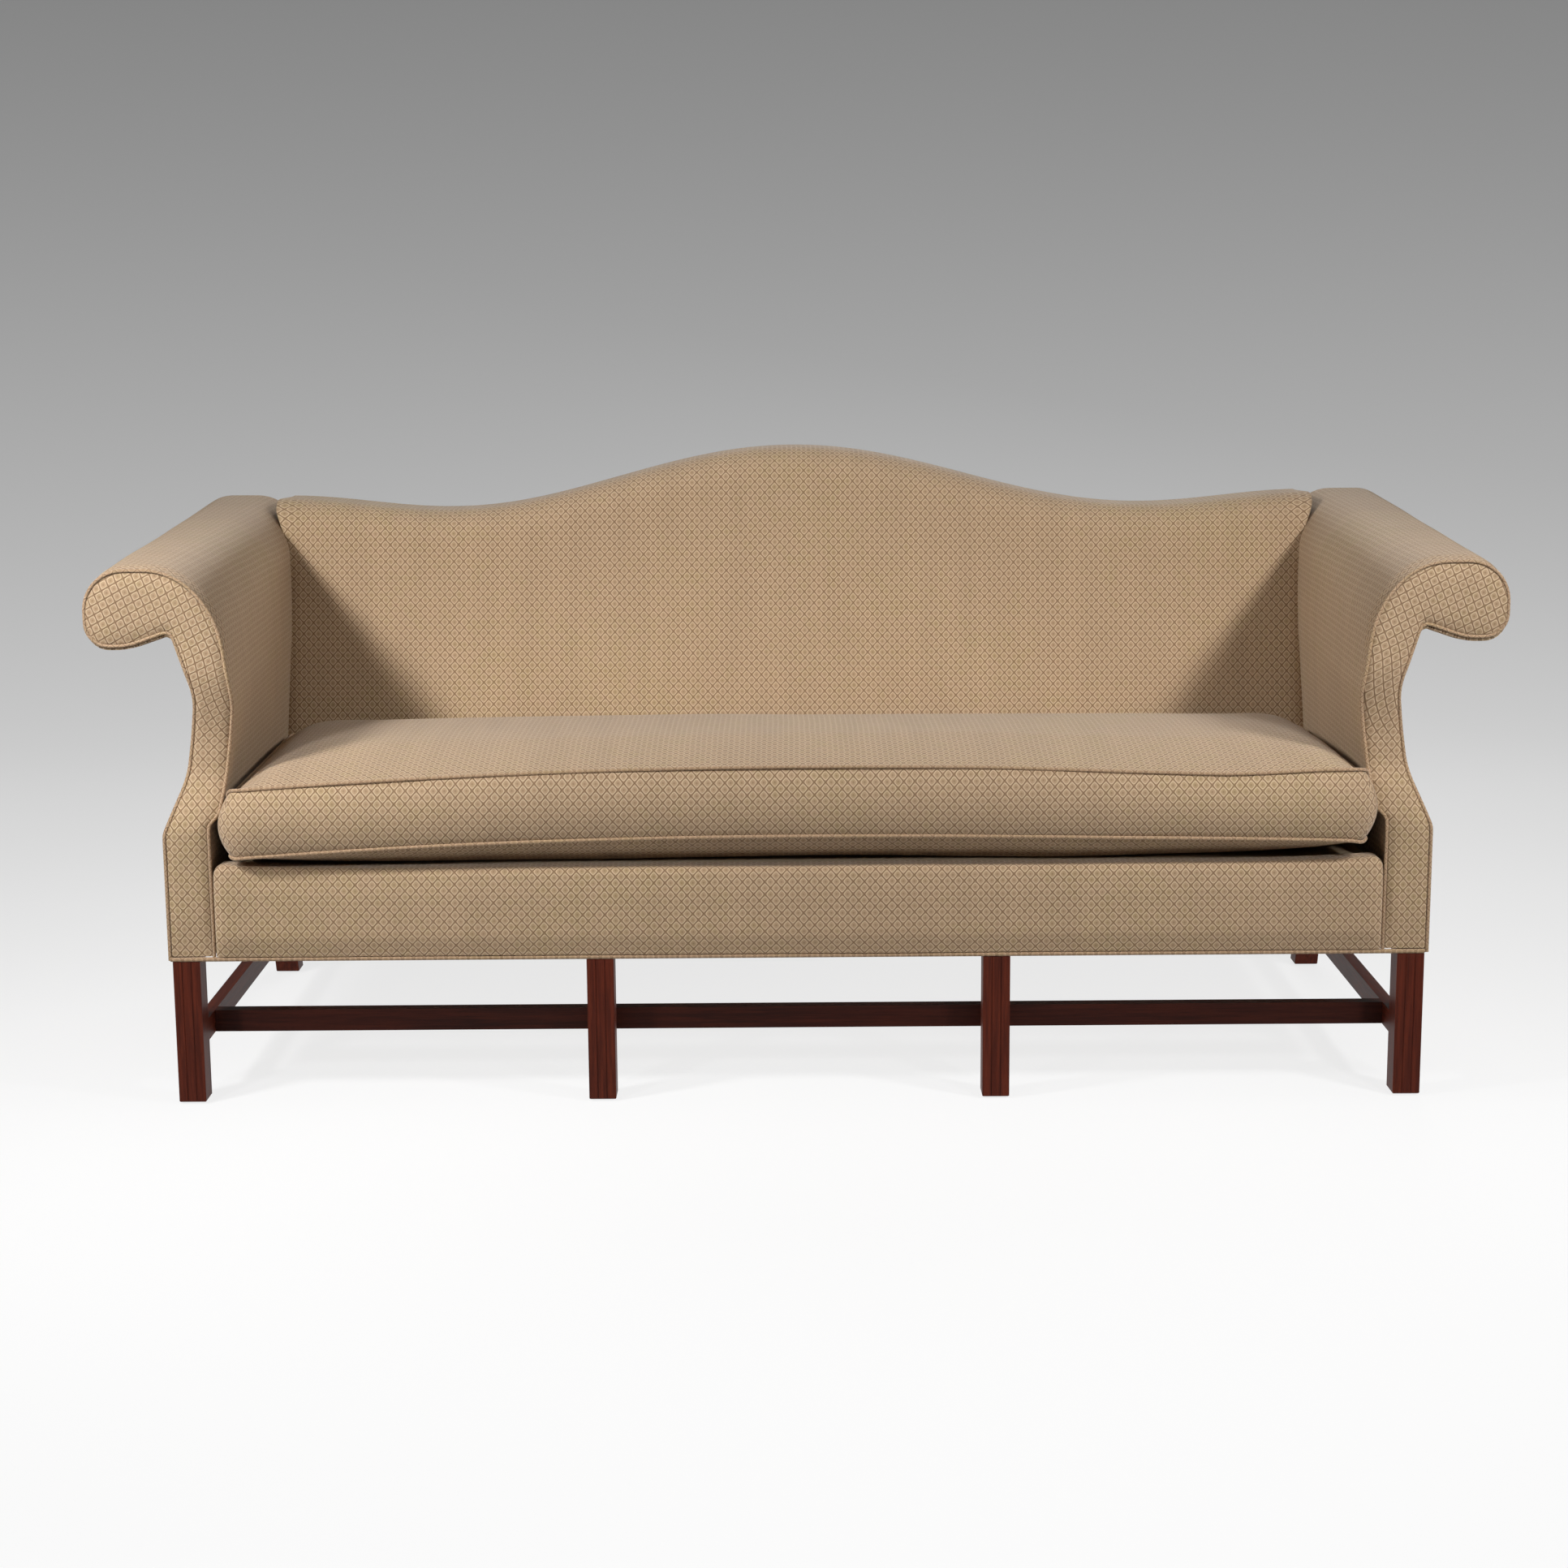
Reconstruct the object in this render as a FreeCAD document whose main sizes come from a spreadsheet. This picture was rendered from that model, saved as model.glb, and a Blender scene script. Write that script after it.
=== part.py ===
import FreeCAD, Part
import Sketcher
import math
import os

# Camelback sofa with scroll arms, a loose bench cushion and a stretcher base.
# Millimetres, +Z up, the front faces -Y, X to the right. The origin is on the floor, in the middle of
# the sofa's outline. Each piece is drawn with Y measured from the front faces of the legs, and its
# Placement moves it into that frame.

vec = FreeCAD.Vector
doc = FreeCAD.newDocument("camelback_sofa")
sheet = doc.addObject("Spreadsheet::Sheet", "sizes")

overall_sizes = {
    "overall_width": 2110,
    "overall_depth": 878,
    "nose_overhang": 40,
    "frame_width": 1890,
    "seat_width": 1684,
    "clearance": 0.3,
}
base_sizes = {
    "leg_size": 41,
    "skirt_height": 223,
    "middle_leg_spacing": 599,
    "back_leg_splay": 83,
    "glide_height": 3,
    "glide_diameter": 13,
    "nail_diameter": 2.6,
    "nail_length": 15,
    "foot_chamfer": 1.5,
    "groove_width": 1.6,
    "groove_depth": 0.9,
    "stretcher_floor_gap": 90,
    "stretcher_height": 34,
    "side_stretcher_thickness": 19,
    "long_stretcher_thickness": 22,
    "long_stretcher_setback": 87,
    "tenon_length": 12,
    "tenon_shoulder": 5,
    "rail_tenon_inset": 7,
    "rail_tenon_thickness": 14,
}
frame_sizes = {
    "welt_size": 7,
    "welt_to_rail": 5,
    "rail_height": 100,
    "rail_thickness": 28,
    "cross_rail_height": 60,
    "cross_rail_thickness": 28,
    "cross_rail_drop": 20,
    "block_leg": 72,
    "block_height": 60,
    "block_drop": 15,
    "screw_diameter": 5,
    "screw_head_diameter": 9,
    "screw_head_height": 3,
    "screw_length": 38,
    "board_depth": 55,
    "arm_rail_width": 60,
    "arm_rail_height": 36,
    "arm_rail_shift": 32,
    "arm_tack_height": 42,
    "arm_tack_width": 26,
    "back_post_width": 34,
    "back_post_depth": 33,
    "back_post_lap": 16,
    "back_upright_spacing": 616,
    "back_rail_thickness": 27,
    "back_top_rail_height": 70,
    "back_tack_rail_height": 70,
    "back_tack_rail_lift": 12,
}
spring_sizes = {
    "spring_count": 10,
    "spring_pitch": 165,
    "spring_wire": 4,
    "spring_loop_width": 52,
    "spring_run_pitch": 34,
    "clip_width": 22,
    "clip_depth": 16,
    "clip_wall": 2,
    "web_count": 9,
    "web_pitch": 180,
    "web_width": 60,
    "web_thickness": 2,
}
layer_sizes = {
    "cover_thickness": 1.5,
    "facing_thickness": 5,
    "panel_thickness": 6,
    "arm_pad_thickness": 12,
    "facing_welt_size": 6,
    "facing_welt_proud": 1,
    "insulator_thickness": 1.5,
    "deck_cover_thickness": 1.2,
    "deck_front_height": 366,
    "deck_slope": 1.3,
    "dust_cover_thickness": 1,
}
apron_sizes = {
    "apron_width": 1748,
    "apron_top": 365,
    "apron_end_lift": 9,
    "apron_bulge": 11,
    "apron_corner": 18,
    "apron_lip": 32,
}
arm_sizes = {
    "arm_over_frame": 4,
    "scroll_top_front": 814,
    "scroll_top_rear": 862,
    "scroll_thickness": 112,
    "scroll_belly": 8,
    "rear_tip_inset": 13,
    "stem_foot_width": 67,
    "stem_step": 15,
    "stem_step_height": 432,
    "stem_waist_width": 55,
    "stem_waist_height": 620,
    "shoulder_height": 418,
    "rear_wall_inset": 23,
    "facing_dish": 37,
    "facing_scroll_setback": 13,
}
back_sizes = {
    "hump_height": 949,
    "dip_height": 847,
    "wing_height": 866,
    "hump_half_width": 600,
    "wing_half_width": 890,
    "inside_back_at_seat": 585,
    "inside_back_at_top": 668,
    "seat_level": 480,
    "outside_back_lean": 39,
    "outside_back_lip": 2.5,
    "back_front_round": 56,
    "back_rear_round": 20,
    "back_top_pad": 12,
}
cushion_sizes = {
    "cushion_length": 1702,
    "cushion_back_gap": 8,
    "cushion_front_seam": 152,
    "cushion_front_boxing": 107,
    "cushion_back_seam": 143,
    "cushion_back_boxing": 104,
    "cushion_crown": 26,
    "cushion_arch": 23,
    "cushion_bulge": 15,
    "cushion_corner": 26,
    "cushion_welt": 6,
    "cushion_end_lift": 14,
    "cushion_rest_front": 75,
    "cushion_rest_rear": 60,
    "cushion_belly_front": 24,
    "cushion_belly_rear": 19,
    "zip_length": 1120,
    "zip_width": 14,
    "zip_slider_length": 12,
    "zip_slider_height": 9,
    "zip_slider_thickness": 3.2,
    "zip_pull_length": 24,
    "zip_pull_height": 6,
    "zip_pull_thickness": 1.4,
}

groups = [
    overall_sizes,
    base_sizes,
    frame_sizes,
    spring_sizes,
    layer_sizes,
    apron_sizes,
    arm_sizes,
    back_sizes,
    cushion_sizes,
]
row = 1
for group in groups:
    for alias, number in group.items():
        sheet.set("A%d" % row, alias)
        sheet.set("B%d" % row, str(number))
        sheet.setAlias("B%d" % row, alias)
        row += 1
doc.recompute()


class Size:
    # A length that keeps its formula over the sheet beside its present value.
    def __init__(self, value, formula):
        self.value = value
        self.formula = formula

    def __add__(self, other):
        other = as_size(other)
        return Size(self.value + other.value, "(%s + %s)" % (self.formula, other.formula))

    def __radd__(self, other):
        return as_size(other) + self

    def __sub__(self, other):
        other = as_size(other)
        return Size(self.value - other.value, "(%s - %s)" % (self.formula, other.formula))

    def __rsub__(self, other):
        return as_size(other) - self

    def __mul__(self, other):
        other = as_size(other)
        return Size(self.value * other.value, "(%s * %s)" % (self.formula, other.formula))

    def __rmul__(self, other):
        return as_size(other) * self

    def __truediv__(self, other):
        other = as_size(other)
        return Size(self.value / other.value, "(%s / %s)" % (self.formula, other.formula))

    def __neg__(self):
        return Size(-self.value, "(0 - %s)" % self.formula)


def as_size(number):
    if isinstance(number, Size):
        return number
    return Size(float(number), "%.6g" % number)


def size(alias):
    return Size(float(sheet.get(alias)), "sizes." + alias)


def plain(alias):
    return float(sheet.get(alias))


def bind(thing, name, number):
    thing.setExpression(name, as_size(number).formula)


pieces = []
gap = size("clearance")
leg = size("leg_size")
half_frame = size("frame_width") / 2
leg_inner = half_frame - leg
skirt = size("skirt_height")
front_shift = size("nose_overhang") - size("overall_depth") / 2
heel = size("overall_depth") - size("nose_overhang")
leg_rear = heel - size("back_leg_splay")
back_leg_front = leg_rear - leg
rail_bottom = skirt + size("welt_size") + size("welt_to_rail")
rail_top = rail_bottom + size("rail_height")
upholstery_bottom = skirt + size("welt_size")
arm_face = half_frame + size("arm_over_frame")
side_plane = arm_face - size("panel_thickness") - gap
front_plane = size("facing_thickness") + gap
rear_face = leg_rear + size("outside_back_lip")
rear_plane = rear_face - size("panel_thickness") - gap
board_rear = size("board_depth")


def keep(thing, label):
    thing.Label = label
    bind(thing, "Placement.Base.y", front_shift)
    pieces.append(thing)
    return thing


def new_body(label):
    return keep(doc.addObject("PartDesign::Body", label), label)


def sized_box(box, low, high):
    sides = ["Length", "Width", "Height"]
    axes = ["x", "y", "z"]
    for k in range(3):
        start = as_size(low[k])
        bind(box, sides[k], as_size(high[k]) - start)
        bind(box, "Placement.Base." + axes[k], start)
    return box


def add_box(body, name, low, high):
    return sized_box(body.newObject("PartDesign::AdditiveBox", name), low, high)


def cut_box(body, name, low, high):
    return sized_box(body.newObject("PartDesign::SubtractiveBox", name), low, high)


def across(side, near, far):
    # The low and high X of a span that lies between near and far on one side of the sofa.
    if side > 0:
        return near, far
    return -as_size(far), -as_size(near)


def side_box(make, body, name, side, near, far, low, high):
    left, right = across(side, near, far)
    return make(body, name, (left, low[0], low[1]), (right, high[0], high[1]))


def drawn_outline(body, name, role, start, corners):
    sketch = body.newObject("Sketcher::SketchObject", name)
    plane = [item for item in body.Origin.OriginFeatures if item.Role == role][0]
    sketch.AttachmentSupport = [(plane, "")]
    sketch.MapMode = "FlatFace"
    bind(sketch, "AttachmentOffset.Base.z", start)
    points = [(as_size(u), as_size(w)) for u, w in corners]
    count = len(points)
    for k in range(count):
        here = points[k]
        there = points[(k + 1) % count]
        first = vec(here[0].value, here[1].value, 0)
        second = vec(there[0].value, there[1].value, 0)
        sketch.addGeometry(Part.LineSegment(first, second), False)
    for k in range(count):
        sketch.addConstraint(Sketcher.Constraint("Coincident", k, 2, (k + 1) % count, 1))
    for k in range(count):
        for kind, letter, number in (("DistanceX", "u", points[k][0]), ("DistanceY", "w", points[k][1])):
            index = sketch.addConstraint(Sketcher.Constraint(kind, -1, 1, k, 1, number.value))
            sketch.renameConstraint(index, "%s%d" % (letter, k))
            bind(sketch, "Constraints.%s%d" % (letter, k), number)
    return sketch


def add_prism(body, name, role, start, length, corners):
    pad = body.newObject("PartDesign::Pad", name)
    pad.Profile = drawn_outline(body, name + "_outline", role, start, corners)
    bind(pad, "Length", length)
    return pad


def cut_prism(body, name, role, start, length, corners):
    doc.recompute()
    before = body.Shape.Volume
    pocket = body.newObject("PartDesign::Pocket", name)
    pocket.Profile = drawn_outline(body, name + "_outline", role, start, corners)
    pocket.Reversed = True
    bind(pocket, "Length", length)
    doc.recompute()
    if not body.Shape.Volume < before:
        raise ValueError(name + " cuts nothing")
    return pocket


# Legs, glides and stretchers

tenon = size("tenon_length")
shoulder = size("tenon_shoulder")
tenon_near = size("rail_tenon_inset")
tenon_far = tenon_near + size("rail_tenon_thickness")
stretcher_low = size("stretcher_floor_gap")
stretcher_high = stretcher_low + size("stretcher_height")
rail_tenon_low = rail_bottom + 3 * shoulder
rail_tenon_high = rail_top - 3 * shoulder
side_rail_inner = side_plane - size("rail_thickness")
front_rail_rear = front_plane + size("rail_thickness")
back_rail_front = rear_plane - size("rail_thickness")
side_stretcher_outer = leg_inner + size("side_stretcher_thickness")


def rake_at(height):
    # Y of the front face of a back leg at one height.
    fall = (skirt - height) / (skirt - size("glide_height"))
    return back_leg_front + fall * size("back_leg_splay")


def foot_chamfer(body):
    doc.recompute()
    base = body.Tip
    low = base.Shape.BoundBox.ZMin
    names = []
    for index, edge in enumerate(base.Shape.Edges):
        if edge.BoundBox.ZMax < low + 0.01 and edge.Length > plain("leg_size") / 2:
            names.append("Edge%d" % (index + 1))
    chamfer = body.newObject("PartDesign::Chamfer", "foot_chamfer")
    chamfer.Base = (base, names)
    bind(chamfer, "Size", size("foot_chamfer"))
    return chamfer


def nail_bore(body, x, y):
    bore = body.newObject("PartDesign::SubtractiveCylinder", "nail_bore")
    bind(bore, "Radius", size("nail_diameter") / 2 + gap / 2)
    bind(bore, "Height", size("nail_length") + gap)
    bind(bore, "Placement.Base.x", x)
    bind(bore, "Placement.Base.y", y)
    bind(bore, "Placement.Base.z", size("glide_height"))
    return bore


def moulded_lines(body, centre, faces):
    # Fine upright grooves at a third and two thirds of each moulded face.
    half = size("groove_width") / 2
    deep = size("groove_depth")
    low = size("glide_height")
    for face in faces:
        for share in (-1, 1):
            middle = share * leg / 6
            if face == "front":
                start = (centre + middle - half, -deep, low)
                end = (centre + middle + half, deep, skirt)
            elif face == "right":
                start = (centre + leg / 2 - deep, leg / 2 + middle - half, low)
                end = (centre + leg / 2 + deep, leg / 2 + middle + half, skirt)
            else:
                start = (centre - leg / 2 - deep, leg / 2 + middle - half, low)
                end = (centre - leg / 2 + deep, leg / 2 + middle + half, skirt)
            cut_box(body, "groove_%s" % face, start, end)


def front_leg(label, side):
    body = new_body(label)
    foot = size("glide_height")
    side_box(add_box, body, "shaft", side, leg_inner, half_frame, (0, foot), (leg, skirt))
    side_box(add_box, body, "block", side, leg_inner, side_plane, (front_plane, skirt), (leg, rail_top))
    low = (front_plane + tenon_near - gap, rail_tenon_low - gap)
    high = (front_plane + tenon_far + gap, rail_tenon_high + gap)
    side_box(cut_box, body, "front_rail_mortise", side, leg_inner - 1, leg_inner + tenon + gap, low, high)
    low = (leg - tenon - gap, rail_tenon_low - gap)
    high = (leg + 1, rail_tenon_high + gap)
    near = side_rail_inner + 2 * shoulder - gap
    far = side_plane - shoulder + gap
    side_box(cut_box, body, "side_rail_mortise", side, near, far, low, high)
    low = (leg - tenon - gap, stretcher_low + shoulder - gap)
    high = (leg + 1, stretcher_high - shoulder + gap)
    near = leg_inner + shoulder - gap
    far = side_stretcher_outer - shoulder + gap
    side_box(cut_box, body, "stretcher_mortise", side, near, far, low, high)
    foot_chamfer(body)
    outer_face = "right" if side > 0 else "left"
    moulded_lines(body, side * (half_frame - leg / 2), ("front", outer_face))
    nail_bore(body, side * (half_frame - leg / 2), leg / 2)


def middle_leg(label, side):
    body = new_body(label)
    centre = side * size("middle_leg_spacing") / 2
    half = leg / 2
    inset = front_plane
    low = (centre - half, 0, size("glide_height"))
    add_box(body, "shaft", low, (centre + half, leg, skirt))
    low = (centre - half, inset, skirt)
    add_box(body, "neck", low, (centre + half, leg, rail_bottom))
    low = (centre - 2 * shoulder, inset + tenon_near, rail_bottom)
    high = (centre + 2 * shoulder, inset + tenon_far, rail_bottom + 2 * tenon)
    add_box(body, "tenon", low, high)
    foot_chamfer(body)
    moulded_lines(body, centre, ("front",))
    nail_bore(body, centre, half)


def back_leg(label, side):
    body = new_body(label)
    foot = size("glide_height")
    start = across(side, leg_inner, half_frame)[0]
    corners = [(heel - leg, foot), (heel, foot), (leg_rear, skirt), (back_leg_front, skirt)]
    add_prism(body, "raked_shaft", "YZ_Plane", start, leg, corners)
    low = (back_leg_front, skirt)
    side_box(add_box, body, "block", side, leg_inner, side_plane, low, (rear_plane, rail_top))
    low = (back_rail_front + tenon_near - gap, rail_tenon_low - gap)
    high = (back_rail_front + tenon_far + gap, rail_tenon_high + gap)
    side_box(cut_box, body, "back_rail_mortise", side, leg_inner - 1, leg_inner + tenon + gap, low, high)
    low = (back_leg_front - 1, rail_tenon_low - gap)
    high = (back_leg_front + tenon / 2 + gap, rail_tenon_high + gap)
    near = side_rail_inner + 2 * shoulder - gap
    far = side_plane - shoulder + gap
    side_box(cut_box, body, "side_rail_mortise", side, near, far, low, high)
    near = leg_inner + shoulder - gap
    far = side_stretcher_outer - shoulder + gap
    start = across(side, near, far)[0]
    low = stretcher_low + shoulder - gap
    high = stretcher_high - shoulder + gap
    deep = tenon + gap
    corners = [
        (rake_at(low) - 1, low),
        (rake_at(low) + deep, low),
        (rake_at(high) + deep, high),
        (rake_at(high) - 1, high),
    ]
    cut_prism(body, "stretcher_mortise", "YZ_Plane", start, far - near, corners)
    foot_chamfer(body)
    nail_bore(body, side * (half_frame - leg / 2), heel - leg / 2)


def side_stretcher(label, side):
    body = new_body(label)
    start = across(side, leg_inner, side_stretcher_outer)[0]
    low = stretcher_low
    high = stretcher_high
    corners = [(leg, low), (rake_at(low), low), (rake_at(high), high), (leg, high)]
    add_prism(body, "rail", "YZ_Plane", start, size("side_stretcher_thickness"), corners)
    near = leg_inner + shoulder
    far = side_stretcher_outer - shoulder
    start = across(side, near, far)[0]
    low = stretcher_low + shoulder
    high = stretcher_high - shoulder
    corners = [
        (leg - tenon, low),
        (rake_at(low) + tenon, low),
        (rake_at(high) + tenon, high),
        (leg - tenon, high),
    ]
    add_prism(body, "tenons", "YZ_Plane", start, far - near, corners)
    setback = size("long_stretcher_setback")
    low = (setback + shoulder - gap, stretcher_low + shoulder - gap)
    high = (setback + size("long_stretcher_thickness") - shoulder + gap, stretcher_high - shoulder + gap)
    side_box(cut_box, body, "cross_mortise", side, leg_inner - 1, leg_inner + tenon + gap, low, high)


def long_stretcher():
    body = new_body("long_stretcher")
    near = size("long_stretcher_setback")
    far = near + size("long_stretcher_thickness")
    add_box(body, "rail", (-leg_inner, near, stretcher_low), (leg_inner, far, stretcher_high))
    reach = leg_inner + tenon
    low = (-reach, near + shoulder, stretcher_low + shoulder)
    add_box(body, "tenons", low, (reach, far - shoulder, stretcher_high - shoulder))


def leg_glides():
    middle = size("middle_leg_spacing") / 2
    outer = half_frame - leg / 2
    feet = [(x, leg / 2) for x in (-outer, -middle, middle, outer)]
    feet += [(x, heel - leg / 2) for x in (-outer, outer)]
    glides = []
    for x, y in feet:
        head = doc.addObject("Part::Cylinder", "glide_head")
        bind(head, "Radius", size("glide_diameter") / 2)
        bind(head, "Height", size("glide_height"))
        nail = doc.addObject("Part::Cylinder", "glide_nail")
        bind(nail, "Radius", size("nail_diameter") / 2)
        bind(nail, "Height", size("glide_height") + size("nail_length"))
        for item in (head, nail):
            bind(item, "Placement.Base.x", x)
            bind(item, "Placement.Base.y", y)
        glide = doc.addObject("Part::MultiFuse", "glide")
        glide.Shapes = [head, nail]
        glides.append(glide)
    group = doc.addObject("Part::Compound", "leg_glides")
    group.Links = glides
    keep(group, "leg_glides")


for name, side in (("left", -1), ("right", 1)):
    front_leg("front_leg_" + name, side)
    middle_leg("middle_leg_" + name, side)
    back_leg("back_leg_" + name, side)
    side_stretcher("side_stretcher_" + name, side)
long_stretcher()
leg_glides()
doc.recompute()

# Seat frame: rails, cross rails, corner blocks and their screws


def screw_places():
    # Each corner block takes one screw into its long rail and one into its side rail. A place is the
    # seat of the head, the way that the screw points and which rail it enters.
    sunk = size("screw_length") - tenon
    height = rail_top - size("block_drop") - size("block_height") / 2
    reach = size("block_leg") - sunk
    places = []
    for side in (-1, 1):
        for end, way in (("front", 1), ("back", -1)):
            rail_y = front_rail_rear if way > 0 else back_rail_front
            leg_y = leg if way > 0 else back_leg_front
            seat = (side * (leg_inner - reach), rail_y + way * sunk, height)
            places.append((seat, (0, -way, 0), end))
            seat = (side * (side_rail_inner - sunk), leg_y + way * reach, height)
            places.append((seat, (side, 0, 0), side))
    return places


def drill(body, rail):
    # Pilot holes for the screws that enter one rail.
    for seat, way, entered in screw_places():
        if entered != rail:
            continue
        hole = body.newObject("PartDesign::SubtractiveCylinder", "screw_hole")
        bind(hole, "Radius", size("screw_diameter") / 2 + gap / 2)
        bind(hole, "Height", size("screw_length") + gap)
        hole.Placement = FreeCAD.Placement(vec(0, 0, 0), FreeCAD.Rotation(vec(0, 0, 1), vec(*way)))
        for axis, number in zip("xyz", seat):
            bind(hole, "Placement.Base." + axis, number)


def rail_along_x(label, low_y, mortises):
    body = new_body(label)
    high_y = low_y + size("rail_thickness")
    add_box(body, "rail", (-leg_inner, low_y, rail_bottom), (leg_inner, high_y, rail_top))
    reach = leg_inner + tenon
    low = (-reach, low_y + tenon_near, rail_tenon_low)
    add_box(body, "tenons", low, (reach, low_y + tenon_far, rail_tenon_high))
    for side in mortises:
        centre = side * size("middle_leg_spacing") / 2
        low = (centre - 2 * shoulder - gap, low_y + tenon_near - gap, rail_bottom - 1)
        high = (centre + 2 * shoulder + gap, low_y + tenon_far + gap, rail_bottom + 2 * tenon + gap)
        cut_box(body, "leg_mortise", low, high)
    return body


def side_rail(label, side):
    body = new_body(label)
    low = (leg, rail_bottom)
    high = (back_leg_front, rail_top)
    side_box(add_box, body, "rail", side, side_rail_inner, side_plane, low, high)
    near = side_rail_inner + 2 * shoulder
    far = side_plane - shoulder
    low = (leg - tenon, rail_tenon_low)
    high = (back_leg_front + tenon / 2, rail_tenon_high)
    side_box(add_box, body, "tenons", side, near, far, low, high)
    drill(body, side)


def seat_cross_rails():
    rails = []
    top = rail_top - size("cross_rail_drop")
    low = top - size("cross_rail_height")
    half = size("cross_rail_thickness") / 2
    for side in (-1, 1):
        centre = side * size("middle_leg_spacing") / 2
        rail = doc.addObject("Part::Box", "cross_rail")
        sized_box(rail, (centre - half, front_rail_rear, low), (centre + half, back_rail_front, top))
        rails.append(rail)
    group = doc.addObject("Part::Compound", "seat_cross_rails")
    group.Links = rails
    keep(group, "seat_cross_rails")


drill(rail_along_x("front_rail", front_plane, (-1, 1)), "front")
drill(rail_along_x("back_rail", back_rail_front, ()), "back")
side_rail("side_rail_left", -1)
side_rail("side_rail_right", 1)
seat_cross_rails()
doc.recompute()


# Rounded outlines, and solids drawn through them


def moved_corners(corners, insets):
    # Moves each side of a clockwise outline towards its inside, and keeps the roundings concentric.
    count = len(corners)
    if not isinstance(insets, list):
        insets = [insets] * count
    lines = []
    for k in range(count):
        start = vec(corners[k][0], corners[k][1], 0)
        end = vec(corners[(k + 1) % count][0], corners[(k + 1) % count][1], 0)
        along = (end - start).normalize()
        inwards = vec(along.y, -along.x, 0)
        lines.append((start + inwards * insets[k], along))
    moved = []
    for k in range(count):
        before, heading = lines[k - 1]
        after, leaving = lines[k]
        turn = heading.x * leaving.y - heading.y * leaving.x
        offset = after - before
        reach = (offset.x * leaving.y - offset.y * leaving.x) / turn
        point = before + heading * reach
        radius = corners[k][2]
        if radius:
            inset = max(insets[k - 1], insets[k])
            radius = max(radius + (inset if turn > 0 else -inset), 0.5)
        moved.append((point.x, point.y, radius))
    return moved


def corner_turns(corners):
    # For each corner, where its rounding starts, the middle of the rounding and where it ends.
    count = len(corners)
    turns = []
    for k in range(count):
        here = vec(corners[k][0], corners[k][1], 0)
        before = vec(corners[k - 1][0], corners[k - 1][1], 0)
        after = vec(corners[(k + 1) % count][0], corners[(k + 1) % count][1], 0)
        heading = (here - before).normalize()
        leaving = (after - here).normalize()
        radius = corners[k][2]
        if not radius:
            turns.append((here, None, here))
            continue
        turn = heading.getAngle(leaving)
        cut = radius * math.tan(turn / 2)
        inwards = (leaving - heading).normalize()
        centre = here + inwards * (radius / math.cos(turn / 2))
        turns.append((here - heading * cut, centre - inwards * radius, here + leaving * cut))
    return turns


def closed_wire(turns, to_space):
    edges = []
    for k in range(len(turns)):
        first, middle, last = turns[k]
        if middle is not None:
            spots = [to_space(spot.x, spot.y) for spot in (first, middle, last)]
            edges.append(Part.Arc(*spots).toShape())
        start = turns[(k + 1) % len(turns)][0]
        edges.append(Part.LineSegment(to_space(last.x, last.y), to_space(start.x, start.y)).toShape())
    return Part.Wire(edges)


def rounded_wire(corners, to_space):
    return closed_wire(corner_turns(corners), to_space)


def band_wire(corners, insets, first, last, to_space):
    # A skin of the outline from one corner to another, as thick as its sides' insets.
    outer = corner_turns(corners)[first:last + 1]
    inner = corner_turns(moved_corners(corners, insets))[first:last + 1]
    back = [(end, middle, start) for start, middle, end in inner[::-1]]
    return closed_wire(outer + back, to_space)


def outline_across(corners, y):
    return rounded_wire(corners, lambda u, w: vec(u, y, w))


def outline_along(corners, x):
    return rounded_wire(corners, lambda u, w: vec(x, u, w))


def solid_through(wires, straight):
    solid = Part.makeLoft(wires, True, straight)
    if solid.Volume < 0:
        solid.reverse()
    return solid


def prism_across(corners, low_y, high_y):
    return solid_through([outline_across(corners, low_y), outline_across(corners, high_y)], True)


def prism_along(corners, low_x, high_x):
    return solid_through([outline_along(corners, low_x), outline_along(corners, high_x)], True)


def block(low, high):
    span = vec(*high) - vec(*low)
    return Part.makeBox(span.x, span.y, span.z, vec(*low))


def mirrored(shape):
    return shape.mirror(vec(0, 0, 0), vec(1, 0, 0))


def keep_shape(label, shape):
    solids = shape.Solids
    if len(solids) == 1:
        shape = solids[0]
    else:
        shape = Part.makeCompound(solids)
    thing = doc.addObject("Part::Feature", label)
    thing.Shape = shape
    keep(thing, label)
    return thing


def keep_pair(label, shape):
    keep_shape(label + "_right", shape)
    keep_shape(label + "_left", mirrored(shape))


# Slopes and heights that several pieces share

far = 1200
slack = 20
touch = plain("clearance")
bottom = upholstery_bottom.value
seat_frame_top = rail_top.value
face = arm_face.value
wall = plain("seat_width") / 2
hump = plain("hump_height")
dip = plain("dip_height")
wing = plain("wing_height")
cover = plain("cover_thickness")
panel = plain("panel_thickness")
under_cover = cover + touch
under_pad = under_cover + plain("arm_pad_thickness") + touch
behind_facing = front_plane.value
before_panel = panel + touch


def rear_at(height):
    # Y of the outside back, which leans back as it rises.
    share = (height - upholstery_bottom) / (size("hump_height") - upholstery_bottom)
    return rear_face + share * size("outside_back_lean")


def inside_at(height):
    # Y of the inside back.
    share = (height - plain("seat_level")) / (hump - plain("seat_level"))
    seat = plain("inside_back_at_seat")
    return seat + share * (plain("inside_back_at_top") - seat)


def crest_at(x):
    # The camel back: one high hump that falls to a dip on each side and rises again to the wings.
    x = abs(x)
    half = plain("hump_half_width")
    if x < half:
        return dip + (hump - dip) * (1 + math.cos(math.pi * x / half)) / 2
    share = min((x - half) / (plain("wing_half_width") - half), 1)
    return dip + (wing - dip) * (1 - math.cos(math.pi * share)) / 2


def deck_at(y):
    return plain("deck_front_height") - y * math.tan(math.radians(plain("deck_slope")))


# Scroll arms

arm_run = rear_at(size("hump_height")).value


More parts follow.
